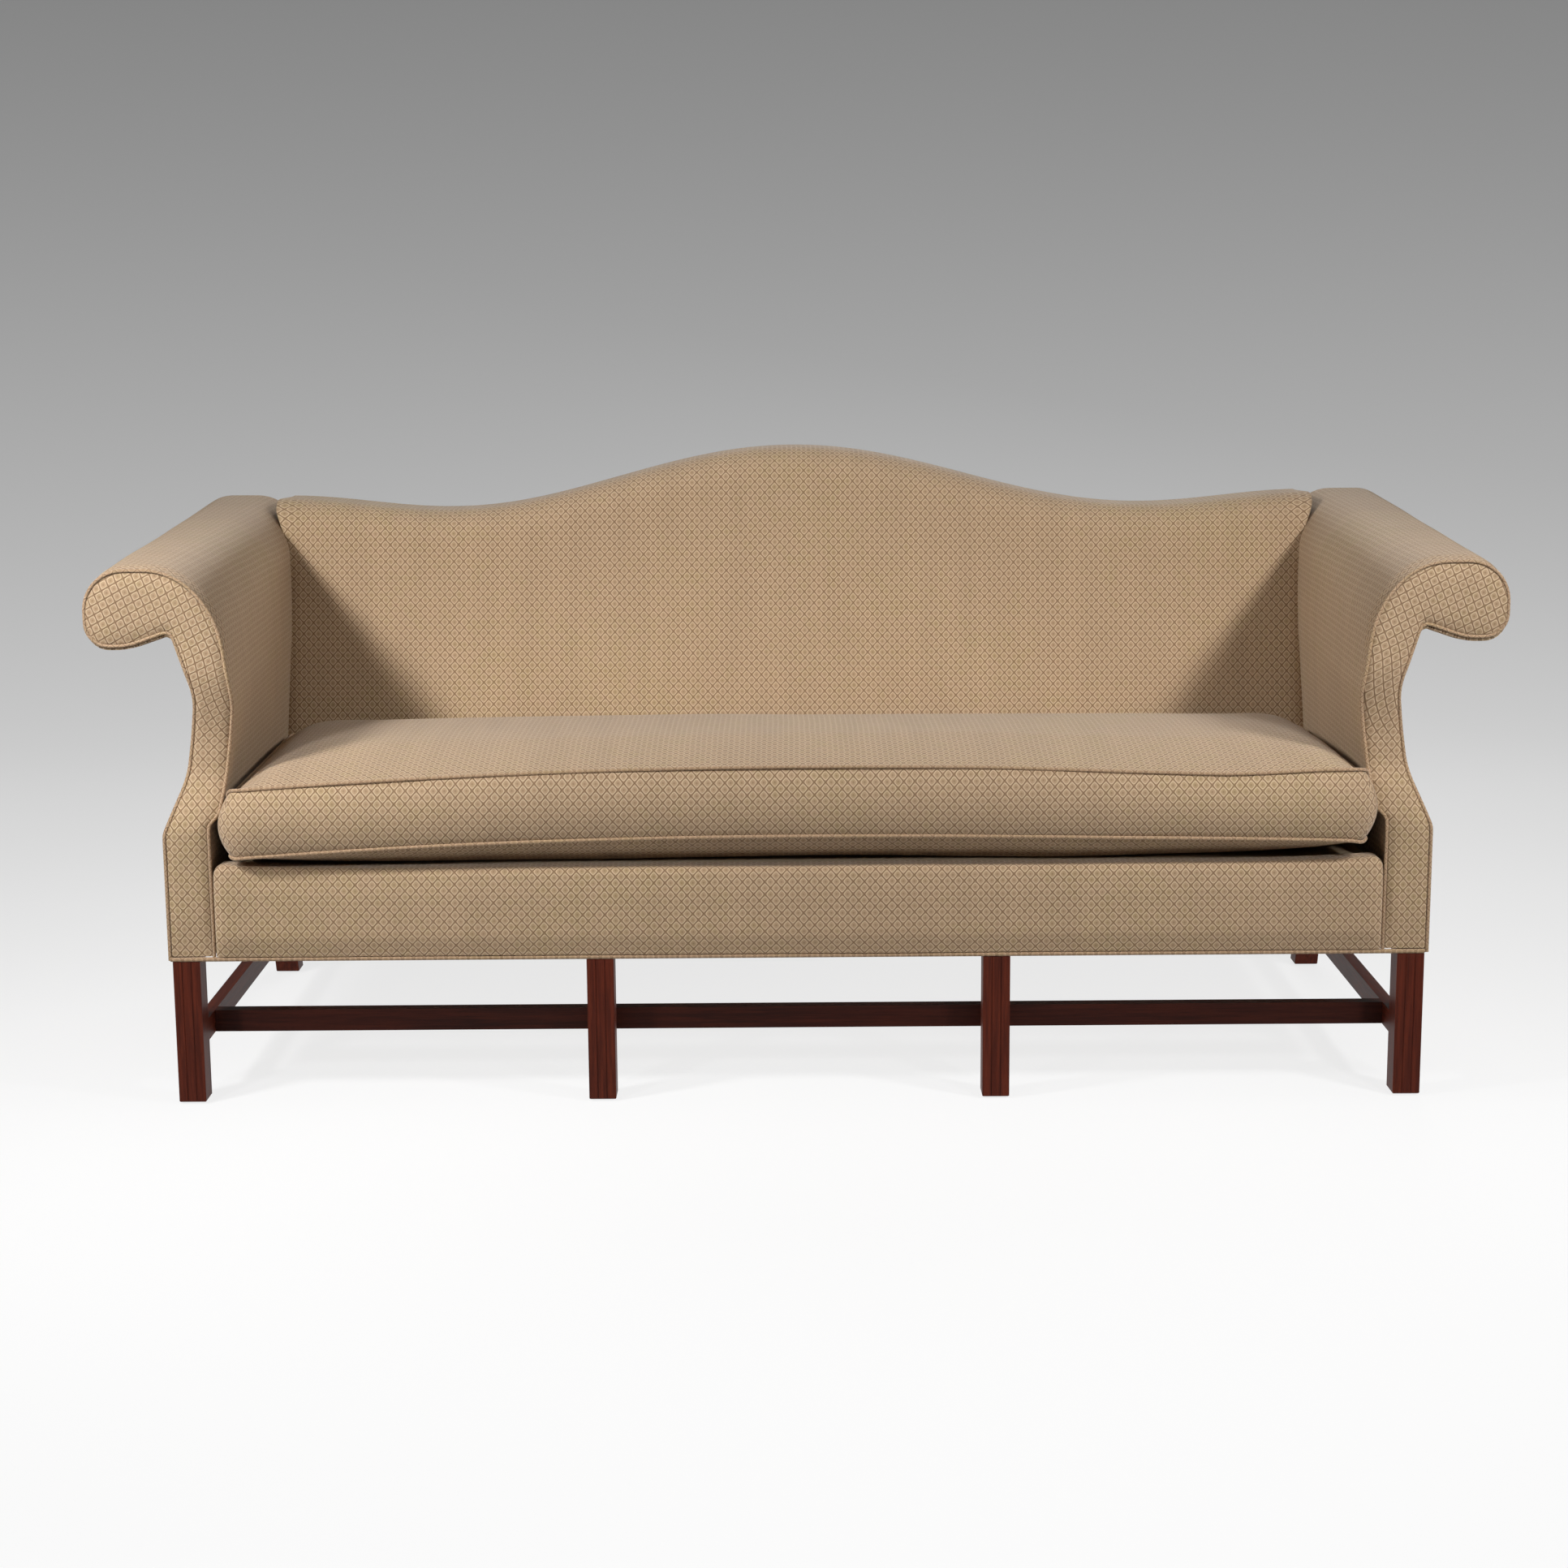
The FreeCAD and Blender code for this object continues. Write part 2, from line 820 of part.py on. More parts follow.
def arm_corners(end):
    tip = plain("overall_width") / 2 - plain("facing_welt_proud")
    foot = face - plain("stem_foot_width")
    step_low = plain("stem_step_height")
    step_high = step_low + plain("stem_step") + 1
    waist = plain("stem_waist_height")
    if end == "rear":
        top = plain("scroll_top_rear")
        under = top - plain("scroll_thickness")
        back_wall = wall + plain("rear_wall_inset")
        tip = tip - plain("rear_tip_inset")
        return [
            (back_wall + 6, bottom, 0),
            (back_wall + 6, step_low, 10),
            (back_wall + 3, step_high, 18),
            (back_wall, waist + 20, 130),
            (back_wall + 3, top - 50, 60),
            (back_wall + 40, top, 68),
            (tip, top, 55),
            (tip, under, 34),
            (tip - 58, under, 80),
            (back_wall + 66, under + 21, 12),
            (back_wall + 37, waist + 52, 80),
            (face - 30, waist - 90, 200),
            (face, plain("shoulder_height") + 22, 25),
            (face, bottom, 0),
        ]
    top = plain("scroll_top_front")
    under = top - plain("scroll_thickness")
    if end == "front":
        under = under - plain("scroll_belly")
    waist_outer = wall + plain("stem_waist_width")
    return [
        (foot, bottom, 0),
        (foot, step_low, 10),
        (foot - plain("stem_step"), step_high, 18),
        (wall, waist - 5, 130),
        (wall + 17, top - 70, 150),
        (wall + 79, top, 100),
        (tip, top, 60),
        (tip, under, 34),
        (tip - 61, under, 95),
        (waist_outer + 31, under + 23, 12),
        (waist_outer, waist + 6, 100),
        (face - 33, waist - 120, 200),
        (face, plain("shoulder_height"), 25),
        (face, bottom, 0),
    ]


def arm_solid(inset, below=0):
    # The arm from the facing to the outside back, with every side moved in and its foot moved down.
    insets = [inset] * 13 + [-below]
    front = outline_across(moved_corners(arm_corners("front"), insets), 0)
    rear = outline_across(moved_corners(arm_corners("rear"), insets), arm_run)
    return solid_through([front, rear], True)


def outer_zone():
    # Everything outside the middle of the arm's stem, up to the crotch under the roll.
    wires = []
    for end, y in (("front", 0), ("rear", arm_run)):
        corners = arm_corners(end)
        crotch = corners[9]
        waist = corners[10]
        zone = [
            (face - 24, bottom - slack, 0),
            (waist[0] - 21, waist[1], 0),
            (crotch[0] - 14, crotch[1] + 16, 0),
            (crotch[0] + 80, crotch[1] - 88, 0),
            (crotch[0] + 80, bottom - slack, 0),
        ]
        wires.append(outline_across(zone, y))
    return solid_through(wires, True)


def profile_corners():
    # The facing seen from the side: it is dished behind the cushion's end and comes forward at the scroll.
    dish = plain("facing_dish")
    scroll = plain("facing_scroll_setback")
    step = plain("stem_step_height")
    waist = plain("stem_waist_height")
    return [
        (0, bottom - slack, 0),
        (0, step, 60),
        (dish, step + 73, 60),
        (dish, waist - 60, 90),
        (scroll, waist + 35, 90),
        (scroll, far, 0),
        (rear_at(far).value, far, 0),
        (rear_at(bottom - slack).value, bottom - slack, 0),
    ]


def arm_slice(front_inset, rear_inset):
    insets = [front_inset] * 5 + [0, rear_inset, 0]
    return prism_along(moved_corners(profile_corners(), insets), wall - 100, far)


def slice_to_plane(front_inset, rear_y):
    corners = moved_corners(profile_corners(), [front_inset] * 5 + [0, 0, 0])
    corners[6] = (rear_y, corners[6][1], 0)
    corners[7] = (rear_y, corners[7][1], 0)
    return prism_along(corners, wall - 100, far)


def arm_rail_corners(end):
    corners = arm_corners(end)
    top = corners[6][1] - under_pad
    middle = (corners[5][0] + corners[6][0]) / 2 - plain("arm_rail_shift")
    near = middle - plain("arm_rail_width") / 2
    far_side = middle + plain("arm_rail_width") / 2
    low = top - plain("arm_rail_height")
    return [(near, low, 0), (near, top, 0), (far_side, top, 0), (far_side, low, 0)]


def arm_rail_solid(grow):
    front = outline_across(moved_corners(arm_rail_corners("front"), -grow), 0)
    rear = outline_across(moved_corners(arm_rail_corners("rear"), -grow), arm_run)
    return solid_through([front, rear], True)


def between_planes(low_y, rear_inset):
    # The space from one upright plane back to the leaning outside back.
    corners = [
        (low_y, bottom - slack, 0),
        (low_y, far, 0),
        (rear_at(far).value - rear_inset, far, 0),
        (rear_at(bottom - slack).value - rear_inset, bottom - slack, 0),
    ]
    return prism_along(corners, wall - 100, far)


outer_arm = arm_solid(0)
arm_inside = arm_solid(under_pad, slack)
outside_zone = outer_zone()
behind_board = board_rear.value + touch
low_space = block((0, -slack, 0), (far, far, seat_frame_top + touch))
whole_slice = arm_slice(behind_facing, before_panel)


def arm_cover_shape():
    skin = outer_arm.cut(arm_solid(cover, slack))
    return skin.common(whole_slice).cut([outside_zone, low_space])


def arm_pad_shape():
    pad = arm_solid(under_cover).cut(arm_solid(under_pad - touch, slack))
    return pad.common(whole_slice).cut([outside_zone, low_space])


def outside_arm_shape():
    skin = outer_arm.cut(arm_solid(panel, slack))
    return skin.common(outside_zone).common(whole_slice)


def scroll_board_shape():
    stem = arm_solid(before_panel, slack).common(outside_zone)
    board = arm_inside.fuse(stem)
    return board.common(slice_to_plane(behind_facing, board_rear.value)).cut(low_space).removeSplitter()


def arm_top_rail_shape():
    rail = arm_rail_solid(0).common(between_planes(behind_board, before_panel + touch))
    return rail.common(arm_inside)


def arm_tack_rail_shape():
    outer = side_rail_inner.value + plain("arm_tack_width") / 3
    high = (outer, back_leg_front.value, seat_frame_top + plain("arm_tack_height"))
    return block((wall, behind_board, seat_frame_top), high).common(arm_inside)


def arm_rear_post_shape():
    low = (wall + plain("rear_wall_inset"), back_leg_front.value + touch, seat_frame_top)
    high = (side_plane.value, far, far)
    post = block(low, high).common(between_planes(0, before_panel + touch))
    post = post.common(block((0, 0, 0), (far, back_leg_front.value + 60, far)))
    above = arm_rail_solid(0)
    reach = block((0, 0, 0), (far, far, plain("scroll_top_rear") - under_pad - plain("arm_rail_height") / 2))
    stem = arm_inside.fuse(arm_solid(before_panel, slack).common(outside_zone))
    post = post.common(reach).cut(above).common(stem)
    return max(post.Solids, key=lambda solid: solid.Volume)


def arm_stuffing_shape():
    front = arm_corners("front")[7][1] - 10
    rear = arm_corners("rear")[7][1] - 10
    above = prism_along(
        [(0, front, 0), (0, far, 0), (arm_run, far, 0), (arm_run, rear, 0)], wall - 100, far
    )
    roll = arm_inside.common(above).common(between_planes(behind_board, before_panel + touch))
    return roll.cut([arm_rail_solid(touch), post_hole])


def facing_prism(inset, below):
    insets = [inset] * 13 + [-below]
    corners = moved_corners(arm_corners("facing"), insets)
    return prism_across(corners, -slack, 3 * slack)


def facing_shape():
    panel_shape = facing_prism(plain("facing_welt_size"), 0)
    return panel_shape.common(arm_slice(0, 0)).cut(arm_slice(plain("facing_thickness"), 0))


def facing_welt_shape():
    proud = plain("facing_welt_proud")
    ring = facing_prism(-proud, slack).cut(facing_prism(plain("facing_welt_size") - touch, 2 * slack))
    band = arm_slice(-2 * proud, 0).cut(arm_slice(plain("facing_thickness"), 0))
    above = block((0, -slack, bottom), (far, far, far))
    return ring.common(band).common(above)


keep_pair("arm_cover", arm_cover_shape())
keep_pair("arm_pad", arm_pad_shape())
keep_pair("outside_arm", outside_arm_shape())
keep_pair("scroll_board", scroll_board_shape())
keep_pair("arm_top_rail", arm_top_rail_shape())
keep_pair("arm_facing", facing_shape())
rear_post = arm_rear_post_shape()
post_hole = rear_post.copy()
tack_rail = arm_tack_rail_shape()
stuffing = arm_stuffing_shape()
welt_ring = facing_welt_shape()
keep_shape("arm_rear_posts", Part.makeCompound([rear_post, mirrored(rear_post)]))
keep_shape("arm_tack_rails", Part.makeCompound([tack_rail, mirrored(tack_rail)]))
keep_shape("arm_roll_stuffing", Part.makeCompound([stuffing, mirrored(stuffing)]))
keep_shape("facing_welts", Part.makeCompound([welt_ring, mirrored(welt_ring)]))


# Camel back


def back_planes(height, depth):
    # Y of a plane that lies one depth in front of the outside back and leans with it.
    return rear_at(height) - depth


post_far = size("seat_width") / 2 + size("back_post_lap")
back_frame_rear = size("panel_thickness") + 2 * gap
back_post_front = back_frame_rear + size("back_post_depth")
back_rail_plane = back_post_front + size("back_rail_thickness")
back_web_plane = back_rail_plane + size("web_thickness")
back_top_inset = cover + 2 * touch + plain("back_top_pad")
back_length = wall + plain("rear_wall_inset") + slack / 2
back_low = deck_at(inside_at(plain("deck_front_height"))) + 2
station_count = 19


def stations(half):
    return [half * (2 * k / (station_count - 1) - 1) for k in range(station_count)]


def back_corners(x, low):
    crest = crest_at(x)
    return [
        (inside_at(low), low, 0),
        (inside_at(crest), crest, plain("back_front_round")),
        (rear_at(crest).value, crest, plain("back_rear_round")),
        (rear_at(low).value, low, 0),
    ]


def back_solid(inset, rear_inset, low, below):
    insets = [inset, inset, rear_inset, -below]
    wires = [outline_along(moved_corners(back_corners(x, low), insets), x) for x in stations(back_length)]
    return solid_through(wires, False)


def leaning_corners(low, top, front_depth, rear_depth):
    # Section of a board that leans with the outside back, between two depths in front of it.
    return [
        (back_planes(low, front_depth), low),
        (back_planes(top, front_depth), top),
        (back_planes(top, rear_depth), top),
        (back_planes(low, rear_depth), low),
    ]


def leaning_section(low, top, front_depth, rear_depth):
    corners = leaning_corners(low, top, front_depth, rear_depth)
    return [(y.value, as_size(height).value, 0) for y, height in corners]


def leaning_slab(front_depth, rear_depth, low, half):
    return prism_along(leaning_section(low, far, front_depth, rear_depth), -half, half)


arms_clear = arm_solid(-touch, slack)
both_arms = [arms_clear, mirrored(arms_clear)]


def under_crest(top_inset, height, front_depth, rear_depth, half):
    # A board that follows the crest from below, between two leaning planes.
    wires = []
    for x in stations(half):
        top = crest_at(x) - top_inset
        wires.append(outline_along(leaning_section(top - height, top, front_depth, rear_depth), x))
    return solid_through(wires, False)


def back_cover_shape():
    skin = back_solid(0, 0, back_low, 0).cut(back_solid(cover, -slack, back_low, slack))
    front = leaning_slab(far / 2, before_panel, bottom, far)
    return skin.common(front).cut(both_arms)


def back_pad_shape():
    pad = back_solid(under_cover, 0, back_low, 0)
    front = leaning_slab(far / 2, before_panel, bottom, far)
    hollow = under_crest(back_top_inset - touch, hump, back_web_plane + touch, -far / 6, back_length)
    return pad.common(front).cut([hollow] + both_arms)


def outside_back_shape():
    middle = back_solid(0, 0, bottom, 0)
    inside_arms = block((-wall - 2 * slack, 0, bottom), (wall + 2 * slack, far, far))
    whole = middle.common(inside_arms).fuse([outer_arm, mirrored(outer_arm)])
    return whole.common(leaning_slab(panel, 0, bottom, far)).removeSplitter()


def back_webbing_shape():
    straps = []
    low = seat_frame_top + plain("back_tack_rail_lift")
    half = plain("web_width") / 2
    for k in range(int(plain("web_count"))):
        x = (k - (plain("web_count") - 1) / 2) * plain("web_pitch")
        top = min(crest_at(x - half), crest_at(x + half)) - back_top_inset
        top = top - plain("back_top_rail_height") / 4
        section = leaning_section(low, top, back_web_plane, back_rail_plane)
        straps.append(prism_along(section, x - half, x + half))
    return Part.makeCompound(straps)


def back_post(body, near, top):
    corners = leaning_corners(rail_top, top, back_post_front, back_frame_rear)
    add_prism(body, "post", "YZ_Plane", near, size("back_post_width"), corners)


def back_uprights():
    top = size("dip_height") + (size("hump_height") - size("dip_height")) / 4
    posts = []
    for side in (-1, 1):
        body = doc.addObject("PartDesign::Body", "upright")
        back_post(body, side * size("back_upright_spacing") / 2 - size("back_post_width") / 2, top)
        posts.append(body)
    group = doc.addObject("Part::Compound", "back_uprights")
    group.Links = posts
    keep(group, "back_uprights")


def back_tack_rail():
    body = new_body("back_tack_rail")
    low = rail_top + size("back_tack_rail_lift")
    top = low + size("back_tack_rail_height")
    corners = leaning_corners(low, top, back_rail_plane, back_post_front)
    add_prism(body, "rail", "YZ_Plane", -post_far, 2 * post_far, corners)


keep_shape("back_cover", back_cover_shape())
keep_shape("back_pad", back_pad_shape())
keep_shape("outside_back", outside_back_shape())
keep_shape("back_webbing", back_webbing_shape())
post_top = size("dip_height") - size("cover_thickness") - size("back_top_pad") - shoulder
back_post(new_body("back_post_right"), post_far - size("back_post_width"), post_top)
back_post(new_body("back_post_left"), -post_far, post_top)
back_uprights()
back_tack_rail()
top_rail_height = plain("back_top_rail_height")
top_rail = under_crest(back_top_inset, top_rail_height, back_rail_plane, back_post_front, post_far.value)
keep_shape("back_top_rail", top_rail)

# Seat: springs, deck and front border


def spring_rows():
    half = (plain("spring_count") - 1) / 2
    return [(k - half) * plain("spring_pitch") for k in range(int(plain("spring_count")))]


spring_height = seat_frame_top + plain("clip_wall") + plain("spring_wire") / 2
spring_front = front_plane.value + plain("rail_thickness") / 2
spring_rear = back_rail_front.value + plain("rail_thickness") / 2


def seat_spring():
    # One zigzag spring: straight runs across the row, joined by half turns.
    runs = int((spring_rear - spring_front) / plain("spring_run_pitch"))
    pitch = (spring_rear - spring_front) / runs
    reach = plain("spring_loop_width") / 2 - pitch / 2
    edges = []
    side = -1
    for k in range(runs + 1):
        y = spring_front + k * pitch
        start = vec(side * reach, y, spring_height)
        end = vec(-side * reach, y, spring_height)
        edges.append(Part.LineSegment(start, end).toShape())
        if k < runs:
            middle = vec(-side * (reach + pitch / 2), y + pitch / 2, spring_height)
            edges.append(Part.Arc(end, middle, vec(-side * reach, y + pitch, spring_height)).toShape())
        side = -side
    path = Part.Wire(edges)
    start = vec(-reach, spring_front, spring_height)
    section = Part.Wire(Part.makeCircle(plain("spring_wire") / 2, start, vec(1, 0, 0)))
    spring = path.makePipeShell([section], True, False)
    if spring.Volume < 0:
        spring.reverse()
    expected = path.Length * math.pi * plain("spring_wire") ** 2 / 4
    print("spring volume over its section times its length %.4f" % (spring.Volume / expected))
    return spring


def seat_springs_shape():
    spring = seat_spring()
    rows = []
    for x in spring_rows():
        copy = spring.copy()
        copy.translate(vec(x, 0, 0))
        rows.append(copy)
    return Part.makeCompound(rows)


def spring_clips_shape():
    clips = []
    wire = plain("spring_wire")
    width = plain("clip_width")
    deep = plain("clip_depth")
    tall = wire + 2 * plain("clip_wall")
    for x in spring_rows():
        for y in (spring_front, spring_rear):
            low = (x - width / 2, y - deep / 2, seat_frame_top)
            clip = block(low, (x + width / 2, y + deep / 2, seat_frame_top + tall))
            start = vec(x - width, y, spring_height)
            clips.append(clip.cut(Part.makeCylinder(wire / 2 + touch, 2 * width, start, vec(1, 0, 0))))
    return Part.makeCompound(clips)


deck_front = front_plane.value + plain("rail_thickness") + touch
deck_rear = back_planes(rail_top, back_rail_plane).value - 4
insulator_low = spring_height + plain("spring_wire") / 2 + touch
insulator_top = insulator_low + plain("insulator_thickness")


def deck_layer(front, low, top_drop, thickness):
    # A deck layer: flat below when low is given, or a sheet of one thickness under the sloping top.
    front_top = deck_at(front) - top_drop
    rear_top = deck_at(deck_rear) - top_drop
    front_low = low if low else front_top - thickness
    rear_low = low if low else rear_top - thickness
    corners = [
        (front, front_low, 0),
        (front, front_top, 0),
        (deck_rear, rear_top, 0),
        (deck_rear, rear_low, 0),
    ]
    return prism_along(corners, -far, far).cut(both_arms + [outer_space, mirrored(outer_space)])


outer_space = block((face - plain("stem_foot_width") / 2, -slack, 0), (2 * far, far, far))
deck_cover_thickness = plain("deck_cover_thickness")
deck_cover = deck_layer(deck_front, 0, 0, deck_cover_thickness)
deck_pad = deck_layer(deck_front, insulator_top + touch, deck_cover_thickness + touch, 0)
insulator_half = wall + slack
insulator = block((-insulator_half, deck_front, insulator_low), (insulator_half, deck_rear, insulator_top))
keep_shape("seat_springs", seat_springs_shape())
keep_shape("spring_clips", spring_clips_shape())
keep_shape("spring_insulator", insulator)
keep_shape("seat_deck_pad", deck_pad)
keep_shape("deck_cover", deck_cover)


def apron_corners(x):
    # Section of the padded front border, smaller where its ends are rounded.
    half = plain("apron_width") / 2
    corner = plain("apron_corner")
    from_end = half - abs(x)
    drop = 0
    if from_end < corner:
        drop = corner - math.sqrt(corner ** 2 - (corner - from_end) ** 2)
    top = plain("apron_top") + plain("apron_end_lift") * (abs(x) / half) ** 8 - drop
    bulge = plain("apron_bulge") - drop / 3
    shelf = seat_frame_top + plain("spring_wire") + 2 * plain("clip_wall") + touch
    back = behind_facing - touch
    lip = plain("apron_lip")
    shelf = min(shelf, top - 2)
    return [
        (back, bottom + touch, 0),
        (-2, bottom + touch, 0),
        (-bulge, bottom + 30, 50),
        (-bulge, top - 40, 50),
        (-bulge + 5, top, 12),
        (lip, top - 0.5, 0),
        (lip, shelf, 0),
        (back, shelf, 0),
    ]


def apron_places():
    half = plain("apron_width") / 2
    ends = [0, 2, 5, 10, 18, 60, 160]
    places = [half - end for end in ends] + [half / 2, half / 4]
    return [-x for x in places] + [0] + places[::-1]


def front_border_cover_shape():
    insets = [0, cover, cover, cover, cover, 0, 0, 0]
    wires = []
    for x in apron_places():
        wires.append(band_wire(apron_corners(x), insets, 1, 5, lambda u, w, x=x: vec(x, u, w)))
    return solid_through(wires, False)


def front_border_pad_shape():
    inset = under_cover + touch
    insets = [0, inset, inset, inset, inset, 0, 0, 0]
    wires = [outline_along(moved_corners(apron_corners(x), insets), x) for x in apron_places()]
    return solid_through(wires, False)


keep_shape("front_border_cover", front_border_cover_shape())
keep_shape("front_border_pad", front_border_pad_shape())


def corner_block(side, front):
    # A block in each corner of the seat frame, notched round the leg.
    reach = plain("block_leg")
    high = seat_frame_top - plain("block_drop")
    low = high - plain("block_height")
    inner = leg_inner.value
    rail_x = side_rail_inner.value
    if front:
        rail_y = front_rail_rear.value
        leg_y = leg.value
        way = 1
    else:
        rail_y = back_rail_front.value
        leg_y = back_leg_front.value
        way = -1
    points = [
        (inner - reach, rail_y),
        (inner, rail_y),
        (inner, leg_y),
        (rail_x, leg_y),
        (rail_x, leg_y + way * reach),
        (rail_x - 12, leg_y + way * reach),
        (inner - reach, rail_y + way * 12),
    ]
    wire = Part.makePolygon([vec(side * x, y, low) for x, y in points + points[:1]])
    return Part.Face(wire).extrude(vec(0, 0, high - low))


def corner_parts():
    # The four blocks with their bores, and the eight screws whose heads sit in those bores.
    blocks = [corner_block(side, front) for side in (-1, 1) for front in (True, False)]
    screws = []
    bores = []
    shank = plain("screw_diameter") / 2
    head = plain("screw_head_diameter") / 2
    for seat, way, entered in screw_places():
        start = vec(*[as_size(number).value for number in seat])
        tip = vec(*way)
        cap = Part.makeCylinder(head, plain("screw_head_height"), start, tip * -1)
        screws.append(cap.fuse(Part.makeCylinder(shank, plain("screw_length"), start, tip)))
        bores.append(Part.makeCylinder(shank + touch / 2, plain("screw_length"), start, tip))
        bores.append(Part.makeCylinder(head + touch, far / 8, start, tip * -1))
    drilled = [item.cut(bores) for item in blocks]
    return Part.makeCompound(drilled), Part.makeCompound(screws)


corner_blocks, corner_screws = corner_parts()
keep_shape("corner_blocks", corner_blocks)
keep_shape("corner_screws", corner_screws)


# Bottom edge


def bottom_welt():
    # A cord round the foot of the upholstery, over the shoulders of the legs.
    welt = size("welt_size")
    proud = size("facing_welt_proud")
    outer = doc.addObject("Part::Box", "welt_outside")
    half = arm_face + proud
    rear = rear_face + proud
    front = -2 * proud
    sized_box(outer, (-half, front, skirt), (half, rear, upholstery_bottom))
    inner = doc.addObject("Part::Box", "welt_inside")
    low = (welt - half, front + welt, skirt - 1)
    sized_box(inner, low, (half - welt, rear - welt, upholstery_bottom + 1))
    ring = doc.addObject("Part::Cut", "bottom_welt")
    ring.Base = outer
    ring.Tool = inner
    keep(ring, "bottom_welt")


def dust_cover():
    # The thin cloth that closes the underside between the legs.
    top = rail_bottom - gap
    low = top - size("dust_cover_thickness")
    half = leg_inner - 2 * gap
    body = new_body("dust_cover")
    add_box(body, "cloth", (-half, leg + 2 * gap, low), (half, rear_plane, top))


bottom_welt()
dust_cover()


# Loose seat cushion, drawn on a level deck with the same Y as the rest and then laid on the slope

cushion_half = plain("cushion_length") / 2
nose = -plain("nose_overhang")
heel_height = deck_at(0) + plain("cushion_back_seam") / 2
cushion_rear = inside_at(heel_height) - plain("cushion_back_gap") - plain("cushion_bulge") / 2
bulge = plain("cushion_bulge")
end_round = 45
belly_share = 0.38


def along_cushion(x, inset):
    # Extents of the cushion's section at one place along it.
    share = min(abs(x) / cushion_half, 1)
    from_end = max(cushion_half - abs(x), 0)
    pull = 0
    if from_end < end_round:
        pull = plain("cushion_corner") * (1 - math.sqrt(1 - (1 - from_end / end_round) ** 2))
    front = plain("cushion_front_seam") - plain("cushion_arch") * share ** 2
    back = plain("cushion_back_seam")
    return {
        "front": nose + pull + inset,
        "rear": cushion_rear - pull - inset,
        "front_top": front - inset,
        "front_low": front - plain("cushion_front_boxing") + inset,
        "back_top": back - inset,
        "back_low": back - plain("cushion_back_boxing") + inset,
        "crown": plain("cushion_crown") * (1 - share ** 6) + 1,
        "floor": touch + inset + plain("cushion_end_lift") * share ** 8,
    }


def cushion_arcs(x, place, inset):
    # The section's curves, each as its start, a point on the way and its end.
    at = along_cushion(x, inset)
    front_seam = at["front"] + bulge
    rear_seam = at["rear"] - bulge
    front_top = vec(place, front_seam, at["front_top"])
    rear_top = vec(place, rear_seam, at["back_top"])
    front_low = vec(place, front_seam, at["front_low"])
    rear_low = vec(place, rear_seam, at["back_low"])
    front_rest = vec(place, front_seam + plain("cushion_rest_front"), at["floor"])
    rear_rest = vec(place, rear_seam - plain("cushion_rest_rear"), at["floor"])
    front_belly_height = at["floor"] + (at["front_low"] - at["floor"]) * belly_share
    front_belly = vec(place, front_seam + plain("cushion_belly_front"), front_belly_height)
    rear_belly_height = at["floor"] + (at["back_low"] - at["floor"]) * belly_share
    rear_belly = vec(place, rear_seam - plain("cushion_belly_rear"), rear_belly_height)
    crown = (front_top + rear_top) / 2 + vec(0, 0, at["crown"])
    return {
        "top": (front_top, crown, rear_top),
        "rear": (rear_top, vec(place, at["rear"], (rear_top.z + rear_low.z) / 2), rear_low),
        "rear_belly": (rear_low, rear_belly, rear_rest),
        "front_belly": (front_rest, front_belly, front_low),
        "front": (front_low, vec(place, at["front"], (front_top.z + front_low.z) / 2), front_top),
    }


def run_through(arcs):
    # One closed wire through the arcs, with straight runs where one doesn't start where the last ended.
    edges = []
    for k in range(len(arcs)):
        edges.append(Part.Arc(*arcs[k]).toShape())
        end = arcs[k][2]
        start = arcs[(k + 1) % len(arcs)][0]
        if end.distanceToPoint(start) > touch / 10:
            edges.append(Part.makeLine(end, start))
    return Part.Wire(edges)


def back_along(arcs):
    return [(end, middle, start) for start, middle, end in arcs[::-1]]


def cushion_section(x, place, inset):
    arcs = cushion_arcs(x, place, inset)
    return run_through([arcs[name] for name in ("top", "rear", "rear_belly", "front_belly", "front")])


def top_panel_section(x, place):
    outer = cushion_arcs(x, place, 0)
    inner = cushion_arcs(x, place, cover)
    return run_through([outer["top"]] + back_along([inner["top"]]))


def bottom_panel_section(x, place):
    outer = cushion_arcs(x, place, 0)
    inner = cushion_arcs(x, place, cover)
    names = ("rear_belly", "front_belly")
    return run_through([outer[name] for name in names] + back_along([inner[name] for name in names]))


def through_sections(section, shrink):
    ends = [0, 4, 12, 24, end_round, 90, 150, 270, 420, 600]
    wires = []
    for end in ends:
        x = cushion_half - end
        place = x - shrink * max(1 - end / end_round, 0)
        wires.append((x, place))
    places = [(-x, -place) for x, place in wires] + [(0, 0)] + wires[::-1]
    return solid_through([section(x, place) for x, place in places], False)


def cushion_solid(inset):
    return through_sections(lambda x, place: cushion_section(x, place, inset), inset)


